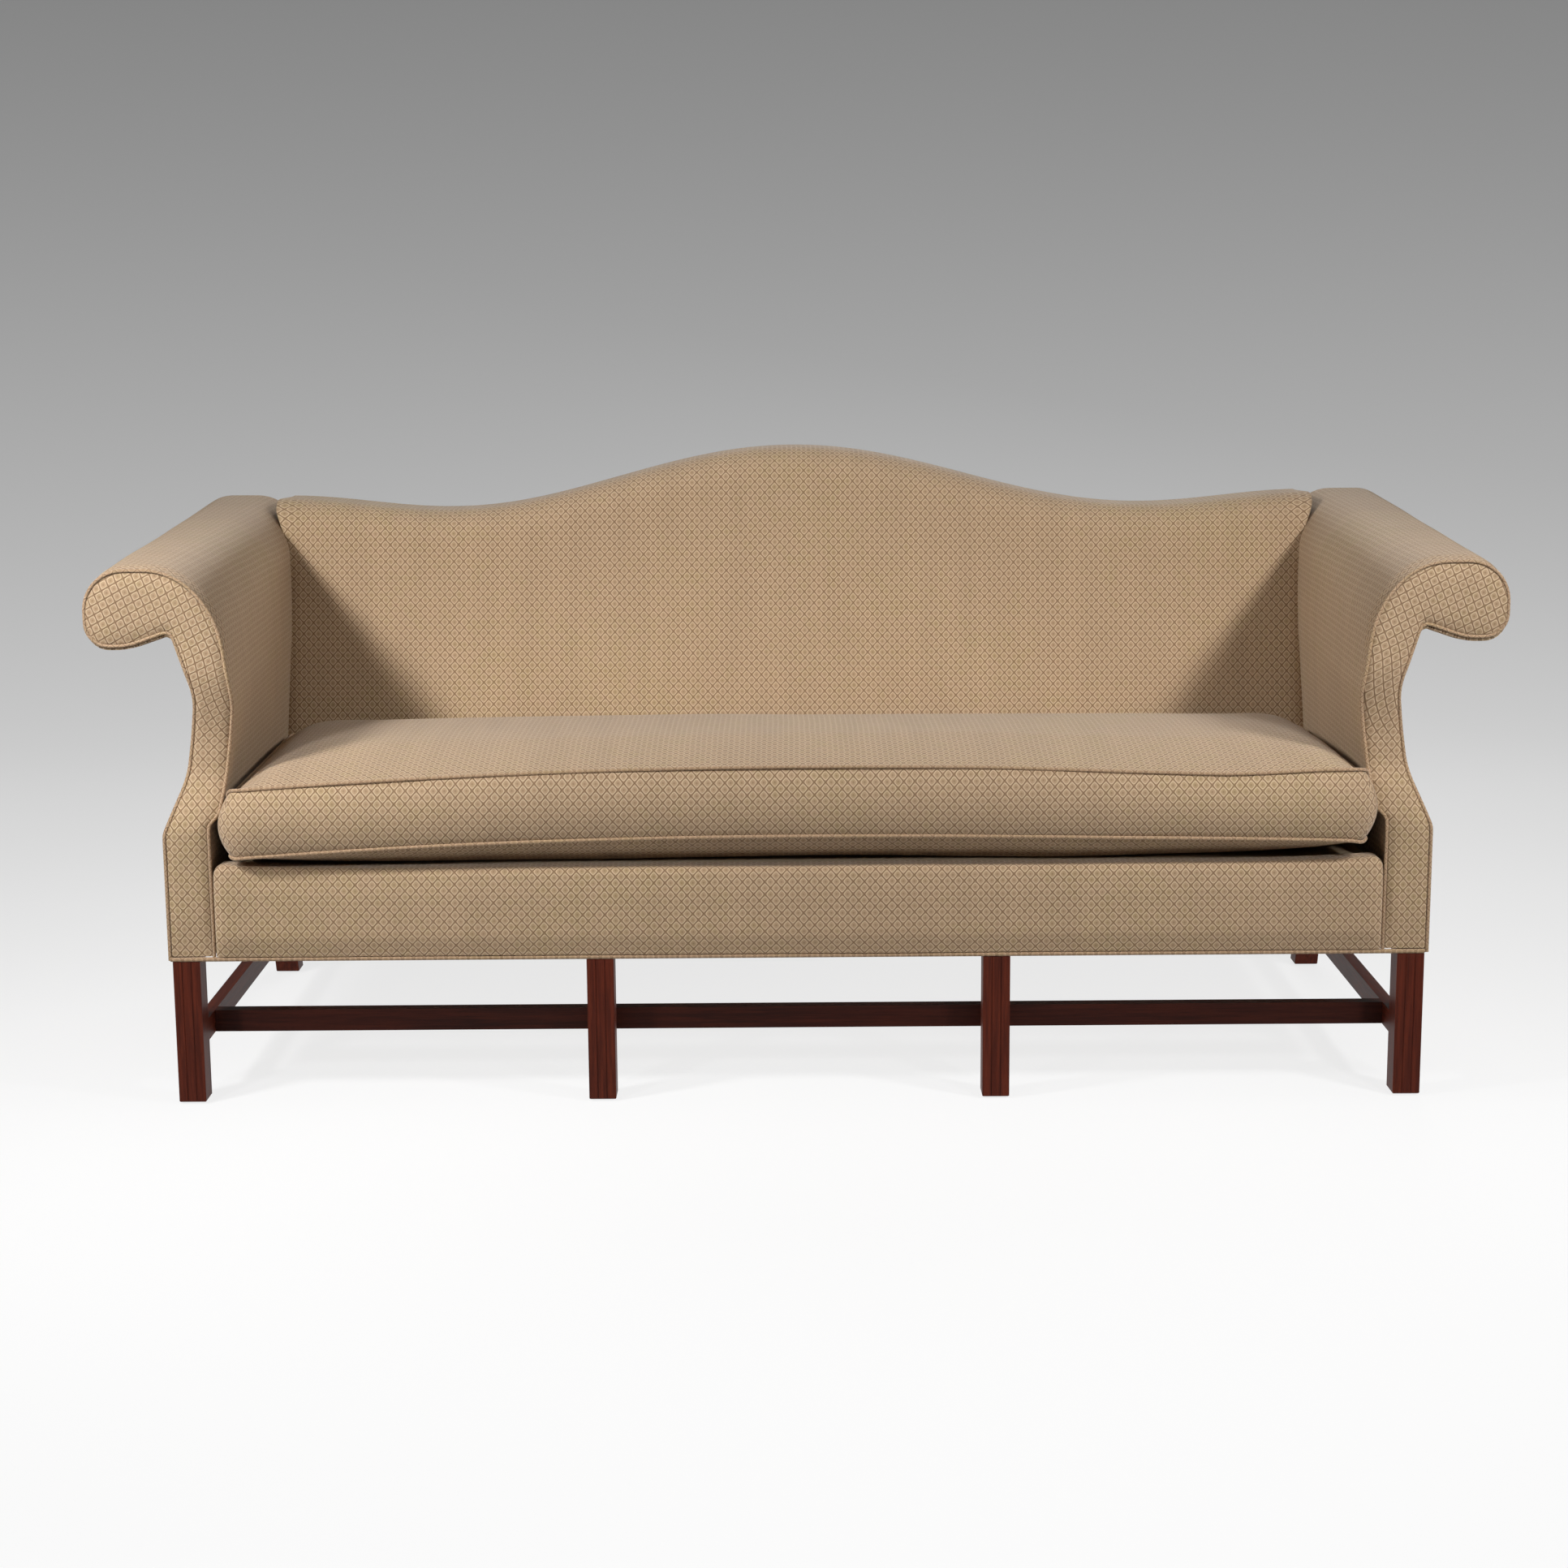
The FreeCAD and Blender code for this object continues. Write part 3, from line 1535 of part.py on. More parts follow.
def under_seam(front_name, back_name, lift):
    # Everything below the seam that runs round the cushion, moved up by lift.
    middle = along_cushion(0, 0)
    end = along_cushion(cushion_half, 0)
    front_y = middle["front"] + bulge
    rear_y = middle["rear"] - bulge
    wires = []
    for y in (nose - slack, cushion_rear + slack):
        share = (rear_y - y) / (rear_y - front_y)
        high = middle[back_name] + share * (middle[front_name] - middle[back_name]) + lift
        side = end[back_name] + share * (end[front_name] - end[back_name]) + lift
        crest = Part.Arc(vec(-cushion_half, y, side), vec(0, y, high), vec(cushion_half, y, side))
        heading = crest.tangent(crest.FirstParameter)[0]
        reach = slack / heading.x
        left = vec(-cushion_half, y, side) - heading * reach
        right = vec(-left.x, y, left.z)
        low_left = vec(left.x, y, -far / 4)
        low_right = vec(right.x, y, -far / 4)
        edges = [
            crest.toShape(),
            Part.makeLine(vec(cushion_half, y, side), right),
            Part.makeLine(right, low_right),
            Part.makeLine(low_right, low_left),
            Part.makeLine(low_left, left),
            Part.makeLine(left, vec(-cushion_half, y, side)),
        ]
        wires.append(Part.Wire(edges))
    return solid_through(wires, True)


def lay_on_deck(label, shape):
    thing = keep_shape(label, shape)
    turn = FreeCAD.Rotation(vec(1, 0, 0), -plain("deck_slope"))
    thing.Placement = FreeCAD.Placement(vec(0, 0, 0), turn)
    bind(thing, "Placement.Base.y", front_shift)
    bind(thing, "Placement.Base.z", size("deck_front_height"))
    return thing


def cushion_parts():
    core = cushion_solid(under_cover)
    shell = cushion_solid(0).cut(cushion_solid(cover))
    boxing = shell.common(under_seam("front_top", "back_top", -cover - 2 * touch))
    boxing = boxing.cut(under_seam("front_low", "back_low", cover + 2 * touch))
    half = plain("cushion_welt") / 2
    collar = cushion_solid(-4).cut(cushion_solid(-touch / 2))
    welts = []
    for front_name, back_name in (("front_top", "back_top"), ("front_low", "back_low")):
        band = under_seam(front_name, back_name, half).cut(under_seam(front_name, back_name, -half))
        welts.append(collar.common(band))
    at = along_cushion(0, 0)
    centre = (at["back_top"] + at["back_low"]) / 2
    zip_half = plain("zip_length") / 2
    low = (-zip_half, cushion_rear - bulge, centre - plain("zip_width") / 2)
    high = (zip_half, cushion_rear + slack, centre + plain("zip_width") / 2)
    strip = block(low, high)
    lay_on_deck("cushion_core", core)
    lay_on_deck("cushion_top_panel", through_sections(top_panel_section, 0))
    lay_on_deck("cushion_bottom_panel", through_sections(bottom_panel_section, 0))
    lay_on_deck("cushion_boxing", boxing.cut(strip))
    lay_on_deck("cushion_zipper", boxing.common(strip))
    lay_on_deck("cushion_welts", Part.makeCompound(welts))
    lay_on_deck("zip_slider", zip_slider(centre, -zip_half))


def zip_slider(centre, start):
    # The slider rides on the back of the zipper, with its pull hanging behind it.
    length = plain("zip_slider_length")
    height = plain("zip_slider_height")
    thick = plain("zip_slider_thickness")
    front = cushion_rear + touch
    body = block((start, front, centre - height / 2), (start + length, front + thick, centre + height / 2))
    upright = [edge for edge in body.Edges if abs(edge.tangentAt(0).y) > 0.9]
    body = body.makeFillet(height / 4, upright)
    pull_thick = plain("zip_pull_thickness")
    half = plain("zip_pull_height") / 2
    low = (start + length / 2, front + thick, centre - half)
    high = (start + length / 2 + plain("zip_pull_length"), front + thick + pull_thick, centre + half)
    pull = block(low, high)
    hole = Part.makeCylinder(half / 2, 4 * pull_thick, vec(high[0] - half - 1, front, centre), vec(0, 1, 0))
    return body.fuse(pull.cut(hole)).removeSplitter()


cushion_parts()
doc.recompute()

for item in doc.Objects:
    if "Invalid" in item.State or "Error" in item.State:
        raise ValueError("%s failed: %s" % (item.Label, item.State))
os.makedirs("parts", exist_ok=True)
bad = [piece.Label for piece in pieces if piece.Shape.isNull() or not piece.Shape.isValid()]
if bad:
    raise ValueError("no valid shape: " + ", ".join(bad))
for piece in pieces:
    piece.Shape.exportStep("parts/%s.step" % piece.Label)
print(len(pieces), "pieces written")
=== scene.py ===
import bpy
import math
from mathutils import Matrix, Vector, noise


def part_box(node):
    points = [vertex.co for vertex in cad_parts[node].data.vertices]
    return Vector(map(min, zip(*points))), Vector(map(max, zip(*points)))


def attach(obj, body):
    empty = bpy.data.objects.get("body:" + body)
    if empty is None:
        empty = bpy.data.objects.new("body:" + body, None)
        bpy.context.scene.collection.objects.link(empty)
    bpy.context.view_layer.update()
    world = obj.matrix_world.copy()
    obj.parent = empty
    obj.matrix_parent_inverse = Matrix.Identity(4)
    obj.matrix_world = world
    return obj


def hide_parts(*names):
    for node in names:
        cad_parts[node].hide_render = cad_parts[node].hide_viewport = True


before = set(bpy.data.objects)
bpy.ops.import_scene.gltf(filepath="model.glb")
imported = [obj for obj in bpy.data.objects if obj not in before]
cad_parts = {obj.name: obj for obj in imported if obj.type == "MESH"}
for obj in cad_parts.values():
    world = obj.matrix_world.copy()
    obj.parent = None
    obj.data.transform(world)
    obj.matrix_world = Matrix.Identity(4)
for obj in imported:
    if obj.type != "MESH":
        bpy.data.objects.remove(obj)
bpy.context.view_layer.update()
scene = bpy.context.scene
print("frame loaded")

# Lengths in the settings are millimetres, with depth counted from the front of the legs.
sofa = {
    "frontShift": -399,
    "footHeight": 230,
    "humpHeight": 949,
    "rearFaceAtFoot": 757.5,
    "rearLean": 39,
    "step": 8,
    "weldReach": 0.00002,
    "sharpFrom": 50,
}


def spot(x, y, z):
    # a place in the row frame, in metres
    return Vector((x, y + sofa["frontShift"], z)) * 0.001


def rearAt(z):
    # depth of the outside back, which leans
    share = (z - sofa["footHeight"]) / (sofa["humpHeight"] - sofa["footHeight"])
    return sofa["rearFaceAtFoot"] + share * sofa["rearLean"]


def smooth(low, high, value):
    # smooth rise from 0 at low to 1 at high
    share = min(max((value - low) / (high - low), 0), 1)
    return share * share * (3 - 2 * share)


# Small tools

def deselectAll():
    if bpy.context.object and bpy.context.object.mode != "OBJECT":
        bpy.ops.object.mode_set(mode="OBJECT")
    bpy.ops.object.select_all(action="DESELECT")


def takeUp(piece):
    # the piece becomes the only selected one
    deselectAll()
    piece.select_set(True)
    bpy.context.view_layer.objects.active = piece


def applyModifiers(piece):
    takeUp(piece)
    for modifier in list(piece.modifiers):
        bpy.ops.object.modifier_apply(modifier=modifier.name)


def inEdit(piece, work):
    # runs one mesh operator on the whole piece
    takeUp(piece)
    bpy.ops.object.mode_set(mode="EDIT")
    bpy.ops.mesh.select_all(action="SELECT")
    work()
    bpy.ops.object.mode_set(mode="OBJECT")


def selectEdges(piece, wanted):
    # opens edit mode with those edges selected whose two ends pass the test
    bpy.ops.object.mode_set(mode="EDIT")
    bpy.ops.mesh.select_mode(type="EDGE")
    bpy.ops.mesh.select_all(action="DESELECT")
    bpy.ops.object.mode_set(mode="OBJECT")
    for edge in piece.data.edges:
        edge.select = wanted(*(piece.data.vertices[k].co for k in edge.vertices))
    bpy.ops.object.mode_set(mode="EDIT")


def turnOutwards(piece):
    inEdit(piece, lambda: bpy.ops.mesh.normals_make_consistent(inside=False))


def clothPatch(name, columns, rows, place, lay):
    # a grid wrapped over a form: place gives each point, lay where it is on the cloth, in metres
    deselectAll()
    bpy.ops.mesh.primitive_grid_add(x_subdivisions=columns, y_subdivisions=rows, size=1, location=(0.5, 0.5, 0))
    bpy.ops.object.transform_apply(location=True, rotation=False, scale=False)
    piece = bpy.context.object
    piece.name = name
    piece.data.name = name
    flat = [(round(v.co.x * columns), round(v.co.y * rows)) for v in piece.data.vertices]
    cloth = piece.data.uv_layers.active
    cloth.name = "cloth"
    for loop in piece.data.loops:
        cloth.data[loop.index].uv = lay(*flat[loop.vertex_index])
    for vertex, (i, j) in zip(piece.data.vertices, flat):
        vertex.co = place(i, j)
    return piece


def faceAway(piece, centre):
    # turns the faces of an open patch away from a point inside the sofa
    out = sum(face.normal.dot(face.center - centre) * face.area for face in piece.data.polygons)
    if out < 0:
        inEdit(piece, bpy.ops.mesh.flip_normals)


def thicken(piece, depth):
    # gives cloth its thickness inwards, in millimetres
    solid = piece.modifiers.new("thickness", "SOLIDIFY")
    solid.thickness = depth * 0.001
    solid.offset = -1
    solid.use_even_offset = False
    applyModifiers(piece)


def puffOut(piece, height, size, seed):
    # slow unevenness of stuffing under cloth: its height in millimetres, waves for each metre, and a seed
    mesh = piece.data
    normals = [Vector(v.normal) for v in mesh.vertices]
    for vertex, normal in zip(mesh.vertices, normals):
        wave = noise.noise(vertex.co * size + Vector((seed, 0.3 * seed, 0)))
        vertex.co += normal * wave * height * 0.001


def weld(piece):
    # closes the seam of a rolled-up grid and its open ends
    inEdit(piece, lambda: bpy.ops.mesh.remove_doubles(threshold=sofa["weldReach"]))
    inEdit(piece, lambda: bpy.ops.mesh.fill_holes(sides=0))
    turnOutwards(piece)


def dress(piece, material, body="sofa", nodes=()):
    # finish, body and the CAD nodes that the piece stands for
    takeUp(piece)
    bpy.ops.object.shade_smooth_by_angle(angle=math.radians(sofa["sharpFrom"]))
    piece.data.materials.clear()
    piece.data.materials.append(material)
    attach(piece, body)
    if nodes:
        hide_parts(*nodes)
    return piece


def coverWith(piece, core, thickness, nodes=(), puff=None):
    # makes an open patch a padded piece in the sofa's fabric, its outside away from the core
    faceAway(piece, Vector(core))
    if puff:
        puffOut(piece, *puff)
    thicken(piece, thickness)
    dress(piece, sofaFabric, nodes=nodes)


def evenly(points, step, closed):
    # the same line with points at even distances
    line = list(points) + ([points[0]] if closed else [])
    lengths = [(line[k + 1] - line[k]).length for k in range(len(line) - 1)]
    total = sum(lengths)
    count = max(int(total / step), 2)
    found = []
    k = 0
    passed = 0
    for n in range(count if closed else count + 1):
        want = total * n / count
        while k < len(lengths) - 1 and passed + lengths[k] < want:
            passed += lengths[k]
            k += 1
        share = min((want - passed) / lengths[k], 1) if lengths[k] else 1
        found.append(line[k].lerp(line[k + 1], share))
    return found


def roundCord(name, points, radius, up, closed=True, sides=10):
    # a cloth-covered cord along a line, its radius in metres
    count = len(points)
    directions = []
    for k in range(count):
        before = points[k - 1] if closed or k else points[0]
        after = points[(k + 1) % count] if closed or k < count - 1 else points[k]
        heading = (after - before).normalized()
        across = heading.cross(Vector(up)).normalized()
        directions.append((across, across.cross(heading)))
    columns = count if closed else count - 1
    length = sum((points[(k + 1) % count] - points[k]).length for k in range(columns))

    def place(i, j):
        across, over = directions[i % count]
        angle = 2 * math.pi * j / sides
        return points[i % count] + (across * math.cos(angle) + over * math.sin(angle)) * radius

    piece = clothPatch(name, columns, sides, place,
                       lambda i, j: (length * i / columns, 2 * math.pi * radius * j / sides))
    weld(piece)
    return piece


def turnsOf(corners):
    # where each rounding of an outline starts and ends, and the centre it turns about
    turns = []
    for k, (u, w, radius) in enumerate(corners):
        here = Vector((u, w))
        heading = (here - Vector(corners[k - 1][:2])).normalized()
        leaving = (Vector(corners[(k + 1) % len(corners)][:2]) - here).normalized()
        angle = heading.angle(leaving)
        if heading.x * leaving.y - heading.y * leaving.x < 0:
            angle = -angle
        cut = radius * math.tan(abs(angle) / 2)
        centre = here + (leaving - heading).normalized() * (radius / math.cos(angle / 2))
        turns.append((here - heading * cut, here + leaving * cut, centre, angle, radius))
    return turns


def stepsOf(corners, step):
    # how many points each rounding and each straight of an outline gets
    turns = turnsOf(corners)
    steps = []
    for k, (start, end, centre, angle, radius) in enumerate(turns):
        onArc = max(math.ceil(abs(angle) * radius / step), 2) if radius else 0
        steps.append((onArc, max(math.ceil((turns[(k + 1) % len(turns)][0] - end).length / step), 1)))
    return steps


def lineOf(corners, steps, first, last):
    # points along an outline from one corner to another
    turns = turnsOf(corners)
    points = []
    for k in range(first, last + 1):
        start, end, centre, angle, radius = turns[k]
        onArc, onStraight = steps[k]
        for n in range(onArc):
            turn = angle * n / onArc
            arm = start - centre
            points.append(centre + Vector((arm.x * math.cos(turn) - arm.y * math.sin(turn),
                                           arm.x * math.sin(turn) + arm.y * math.cos(turn))))
        points.append(end)
        if k < last:
            following = turns[(k + 1) % len(turns)][0]
            points += [end.lerp(following, n / onStraight) for n in range(1, onStraight)]
    return points


def lengthsAlong(points):
    # how far along the line each of its points lies
    total = [0]
    for k in range(1, len(points)):
        total.append(total[-1] + (points[k] - points[k - 1]).length)
    return total


# Materials

fabric = {
    "ground": (0.440, 0.300, 0.184),
    "olive": (0.405, 0.292, 0.155),
    "line": (0.195, 0.115, 0.062),
    "ring": (0.62, 0.48, 0.325),
    # width and height of a diamond, and how far the lattice strays, in metres
    "across": 0.0166,
    "upright": 0.0188,
    "stray": 0.004,
    "strayScale": 9.0,
    "roundness": 3.2,
    # where each part of a diamond starts and ends, from 0 in its middle to 1 on its sides
    "lineEdge": (0.85, 0.96),
    "ringOutside": (0.77, 0.86),
    "ringInside": (0.58, 0.72),
    "dotEdge": (0.08, 0.42),
    "oliveEdge": (0.52, 0.74),
    "ringShare": 0.92,
    "dotShare": 0.5,
    "darkShare": 0.95,
    "oliveShare": 0.75,
    # noise scales, for each metre of cloth
    "ribScale": 260.0,
    "warpScale": 300.0,
    "slubScale": 520.0,
    "patchScale": 38.0,
    "slowScale": 3.1,
    "streakScale": (26.0, 2.2, 1.0),
    # weights in the shade, the relief and the roughness
    "baseShade": 0.74,
    "streakShade": 0.16,
    "slowShade": 0.16,
    "slubShade": 0.22,
    "ringRise": 0.5,
    "lineRise": -0.6,
    "threadRise": 0.35,
    "slubRise": 0.25,
    "relief": 0.0006,
    "roughness": 0.82,
    "slubRoughness": 0.12,
    "sheen": 0.18,
    "sheenRoughness": 0.45,
    "specular": 0.22,
}


def newSocket(group, name, kind, way, default=None):
    socket = group.interface.new_socket(name=name, in_out=way, socket_type=kind)
    if default is not None:
        socket.default_value = default


class nodeBoard:
    # places nodes on a material or a group and joins them
    def __init__(self, tree):
        self.tree = tree
        self.column = 0

    def add(self, kind, values=None, **settings):
        node = self.tree.nodes.new(kind)
        self.column += 1
        node.location = (self.column * 170, -40 * (self.column % 5))
        for name, value in settings.items():
            setattr(node, name, value)
        for key, value in (values or {}).items():
            self.feed(node.inputs[key], value)
        return node

    def feed(self, socket, value):
        # a socket gets a link or a constant
        if isinstance(value, bpy.types.NodeSocket):
            self.tree.links.new(value, socket)
        else:
            socket.default_value = value

    def math(self, operation, first, second=0.0):
        return self.add("ShaderNodeMath", {0: first, 1: second}, operation=operation).outputs[0]

    def vector(self, operation, first, second):
        return self.add("ShaderNodeVectorMath", {0: first, 1: second}, operation=operation).outputs[0]

    def weighted(self, *parts):
        # the sum of some values, each times its weight
        total = None
        for value, weight in parts:
            part = self.math("MULTIPLY", value, weight)
            total = part if total is None else self.math("ADD", total, part)
        return total

    def mix(self, factor, first, second, blend="MIX"):
        node = self.add("ShaderNodeMix", {"Factor": factor}, data_type="RGBA", blend_type=blend)
        for name, value in (("A_Color", first), ("B_Color", second)):
            socket = next(s for s in node.inputs if s.identifier == name)
            self.feed(socket, value if isinstance(value, bpy.types.NodeSocket) else (*value, 1))
        return next(s for s in node.outputs if s.identifier == "Result_Color")

    def grey(self, value):
        return self.add("ShaderNodeCombineColor", {0: value, 1: value, 2: value}).outputs[0]

    def ramp(self, value, edge):
        # smooth rise from 0 to 1 between the two values of the edge
        node = self.add("ShaderNodeMapRange", {"Value": value, "From Min": edge[0], "From Max": edge[1]},
                        interpolation_type="SMOOTHSTEP")
        return node.outputs["Result"]

    def noise(self, vector, scale, detail, output="Fac"):
        node = self.add("ShaderNodeTexNoise", {"Vector": vector, "Scale": scale, "Detail": detail})
        return node.outputs[output]

    def wave(self, vector, scale, distortion, direction):
        node = self.add("ShaderNodeTexWave", {"Vector": vector, "Scale": scale, "Distortion": distortion,
                                              "Detail": 1.0}, wave_type="BANDS", bands_direction=direction)
        return node.outputs["Fac"]

    def bump(self, height, strength, depth):
        values = {"Height": height, "Strength": strength, "Distance": depth}
        return self.add("ShaderNodeBump", values).outputs[0]


def latticeGroup():
    # diamonds with a light ring and a dark dot, on cloth laid out in metres
    group = bpy.data.node_groups.new("latticeWeave", "ShaderNodeTree")
    newSocket(group, "Cloth", "NodeSocketVector", "INPUT")
    newSocket(group, "Contrast", "NodeSocketFloat", "INPUT", 1.0)
    newSocket(group, "Color", "NodeSocketColor", "OUTPUT")
    newSocket(group, "Height", "NodeSocketFloat", "OUTPUT")
    newSocket(group, "Roughness", "NodeSocketFloat", "OUTPUT")
    board = nodeBoard(group)
    start = board.add("NodeGroupInput")
    cloth = start.outputs["Cloth"]
    strength = start.outputs["Contrast"]

    # the lattice strays a little from straight lines
    shift = board.vector("SUBTRACT", board.noise(cloth, fabric["strayScale"], 1.0, "Color"), (0.5, 0.5, 0.5))
    shift = board.vector("MULTIPLY", shift, (fabric["stray"],) * 3)
    parts = board.add("ShaderNodeSeparateXYZ", {0: board.vector("ADD", cloth, shift)})
    across = board.math("DIVIDE", parts.outputs["X"], fabric["across"])
    upright = board.math("DIVIDE", parts.outputs["Y"], fabric["upright"])
    # distance from the middle of a diamond to its two pairs of sides: 0 in the middle, 1 on a line
    sides = []
    for operation in ("ADD", "SUBTRACT"):
        turn = board.math("FRACT", board.math(operation, across, upright))
        sides.append(board.math("MULTIPLY", board.math("ABSOLUTE", board.math("SUBTRACT", turn, 0.5)), 2.0))
    square = board.math("MAXIMUM", *sides)
    powers = [board.math("POWER", side, fabric["roundness"]) for side in sides]
    rounded = board.math("POWER", board.math("ADD", *powers), 1 / fabric["roundness"])
    line = board.ramp(square, fabric["lineEdge"])
    ringOutside = board.math("SUBTRACT", 1.0, board.ramp(rounded, fabric["ringOutside"]))
    ring = board.math("MULTIPLY", ringOutside, board.ramp(rounded, fabric["ringInside"]))
    dot = board.math("SUBTRACT", 1.0, board.ramp(rounded, fabric["dotEdge"]))

    # threads, slubs and slow changes of shade
    ribs = board.wave(cloth, fabric["ribScale"], 1.2, "X")
    warps = board.wave(cloth, fabric["warpScale"], 1.0, "Y")
    thread = board.math("MULTIPLY", board.math("ADD", ribs, warps), 0.5)
    slub = board.noise(cloth, fabric["slubScale"], 3.0)
    slow = board.noise(cloth, fabric["slowScale"], 3.0)
    patch = board.noise(cloth, fabric["patchScale"], 2.0)
    streak = board.noise(board.vector("MULTIPLY", cloth, fabric["streakScale"]), 1.0, 2.0)

    olive = board.ramp(board.weighted((patch, 0.55), (slow, 0.6)), fabric["oliveEdge"])
    ground = board.mix(board.math("MULTIPLY", olive, fabric["oliveShare"]), fabric["ground"], fabric["olive"])
    light = board.math("MULTIPLY", ring, board.math("MULTIPLY", strength, fabric["ringShare"]))
    colour = board.mix(light, ground, fabric["ring"])
    dark = board.math("MAXIMUM", line, board.math("MULTIPLY", dot, fabric["dotShare"]))
    dark = board.math("MULTIPLY", dark, board.math("MULTIPLY", strength, fabric["darkShare"]))
    colour = board.mix(dark, colour, fabric["line"])
    shade = board.weighted((streak, fabric["streakShade"]), (slow, fabric["slowShade"]),
                           (slub, fabric["slubShade"]))
    shade = board.math("ADD", shade, fabric["baseShade"])
    colour = board.mix(1.0, colour, board.grey(shade), "MULTIPLY")
    height = board.weighted((ring, fabric["ringRise"]), (line, fabric["lineRise"]),
                            (thread, fabric["threadRise"]), (slub, fabric["slubRise"]))
    rough = board.math("ADD", board.math("MULTIPLY", slub, fabric["slubRoughness"]), fabric["roughness"])
    board.add("NodeGroupOutput", {"Color": colour, "Height": height, "Roughness": rough})
    return group


lattice = latticeGroup()


def newMaterial(name):
    material = bpy.data.materials.new(name)
    material.use_nodes = True
    material.node_tree.nodes.clear()
    board = nodeBoard(material.node_tree)
    shader = board.add("ShaderNodeBsdfPrincipled")
    board.add("ShaderNodeOutputMaterial", {"Surface": shader.outputs[0]})
    return material, board, shader


def setShader(board, shader, values):
    for name, value in values.items():
        board.feed(shader.inputs[name], value)


def clothMaterial(name, contrast, tone=(1, 1, 1)):
    # the weave on its own cloth layout, tinted by the tone
    material, board, shader = newMaterial(name)
    cloth = board.add("ShaderNodeUVMap", uv_map="cloth")
    weave = board.add("ShaderNodeGroup", node_tree=lattice)
    board.feed(weave.inputs["Cloth"], cloth.outputs[0])
    board.feed(weave.inputs["Contrast"], contrast)
    setShader(board, shader, {
        "Base Color": board.mix(1.0, weave.outputs["Color"], tone, "MULTIPLY"),
        "Roughness": weave.outputs["Roughness"],
        "Normal": board.bump(weave.outputs["Height"], 0.7, fabric["relief"]),
        "Sheen Weight": fabric["sheen"],
        "Sheen Roughness": fabric["sheenRoughness"],
        "Specular IOR Level": fabric["specular"],
    })
    return material


sofaFabric = clothMaterial("sofaFabric", 1.0)
weltFabric = clothMaterial("weltFabric", 0.6, (0.96, 0.93, 0.93))

grain = {
    "fineScale": 4.5,
    "poreScale": 9.0,
    "poreEdge": (0.58, 0.72),
    "slowScale": 6.0,
    "mixEdge": (0.36, 0.66),
    "redShare": 0.5,
    "poreShare": 0.5,
    "poreShade": 0.45,
    "roughnessSpread": 0.14,
    "bump": 0.18,
    "relief": 0.0006,
    "specular": 0.14,
    "coatRoughness": 0.3,
    # noise for each metre: low along the grain and high across it
    "upright": (210.0, 210.0, 9.0),
    "along": (9.0, 210.0, 210.0),
    "deep": (210.0, 9.0, 210.0),
    "even": (90.0, 90.0, 90.0),
}
mahogany = {
    "dark": (0.030, 0.0060, 0.0030),
    "light": (0.105, 0.0200, 0.0085),
    "red": (0.15, 0.020, 0.007),
    "roughness": 0.42,
    "coat": 0.02,
}
# a darker copy of the mahogany for the long stretcher: painted shade, since the stretcher stands in the shadow
# of the seat's front rail
mahoganyPaintedShade = {
    **mahogany,
    "dark": (0.016, 0.0034, 0.0017),
    "light": (0.055, 0.0110, 0.0050),
    "red": (0.08, 0.011, 0.004),
}
beech = {
    "dark": (0.36, 0.21, 0.10),
    "light": (0.52, 0.34, 0.18),
    "red": (0.45, 0.27, 0.13),
    "roughness": 0.6,
    "coat": 0.0,
}


def woodMaterial(name, wood, scale):
    material, board, shader = newMaterial(name)
    here = board.add("ShaderNodeTexCoord").outputs["Object"]
    stretched = board.vector("MULTIPLY", here, scale)
    coarse = board.noise(stretched, 1.0, 6.0)
    fine = board.noise(stretched, grain["fineScale"], 3.0)
    pores = board.ramp(board.noise(stretched, grain["poreScale"], 2.0), grain["poreEdge"])
    slow = board.noise(here, grain["slowScale"], 2.0)
    mixed = board.ramp(board.weighted((coarse, 0.7), (fine, 0.3)), grain["mixEdge"])
    colour = board.mix(mixed, wood["dark"], wood["light"])
    colour = board.mix(board.math("MULTIPLY", slow, grain["redShare"]), colour, wood["red"])
    inPores = tuple(grain["poreShade"] * c for c in wood["dark"])
    colour = board.mix(board.math("MULTIPLY", pores, grain["poreShare"]), colour, inPores)
    rough = board.math("ADD", wood["roughness"], board.math("MULTIPLY", fine, grain["roughnessSpread"]))
    height = board.math("SUBTRACT", fine, board.math("MULTIPLY", pores, 0.6))
    setShader(board, shader, {
        "Base Color": colour,
        "Roughness": rough,
        "Normal": board.bump(height, grain["bump"], grain["relief"]),
        "Specular IOR Level": grain["specular"],
        "Coat Weight": wood["coat"],
        "Coat Roughness": grain["coatRoughness"],
    })
    return material


mahoganyUpright = woodMaterial("mahoganyUpright", mahogany, grain["upright"])
# the long stretcher's wood, with painted shade that makes it darker than the legs' mahogany
mahoganyAlongPaintedShade = woodMaterial("mahoganyAlongPaintedShade", mahoganyPaintedShade, grain["along"])
mahoganyDeep = woodMaterial("mahoganyDeep", mahogany, grain["deep"])
beechFrame = woodMaterial("beechFrame", beech, grain["even"])

plain = {
    "roughnessSpread": 0.12,
    "bump": 0.2,
    "relief": 0.0004,
}


def plainMaterial(name, colour, roughness, scale, variation, metallic=0.0):
    # one colour with a fine mottling: its scale for each metre, and how much the shade varies
    material, board, shader = newMaterial(name)
    mottle = board.noise(board.add("ShaderNodeTexCoord").outputs["Object"], scale, 4.0)
    shade = board.math("ADD", 1 - variation / 2, board.math("MULTIPLY", mottle, variation))
    rough = board.math("ADD", roughness, board.math("MULTIPLY", mottle, plain["roughnessSpread"]))
    setShader(board, shader, {
        "Base Color": board.mix(1.0, colour, board.grey(shade), "MULTIPLY"),
        "Roughness": rough,
        "Normal": board.bump(mottle, plain["bump"], plain["relief"]),
        "Metallic": metallic,
    })
    return material


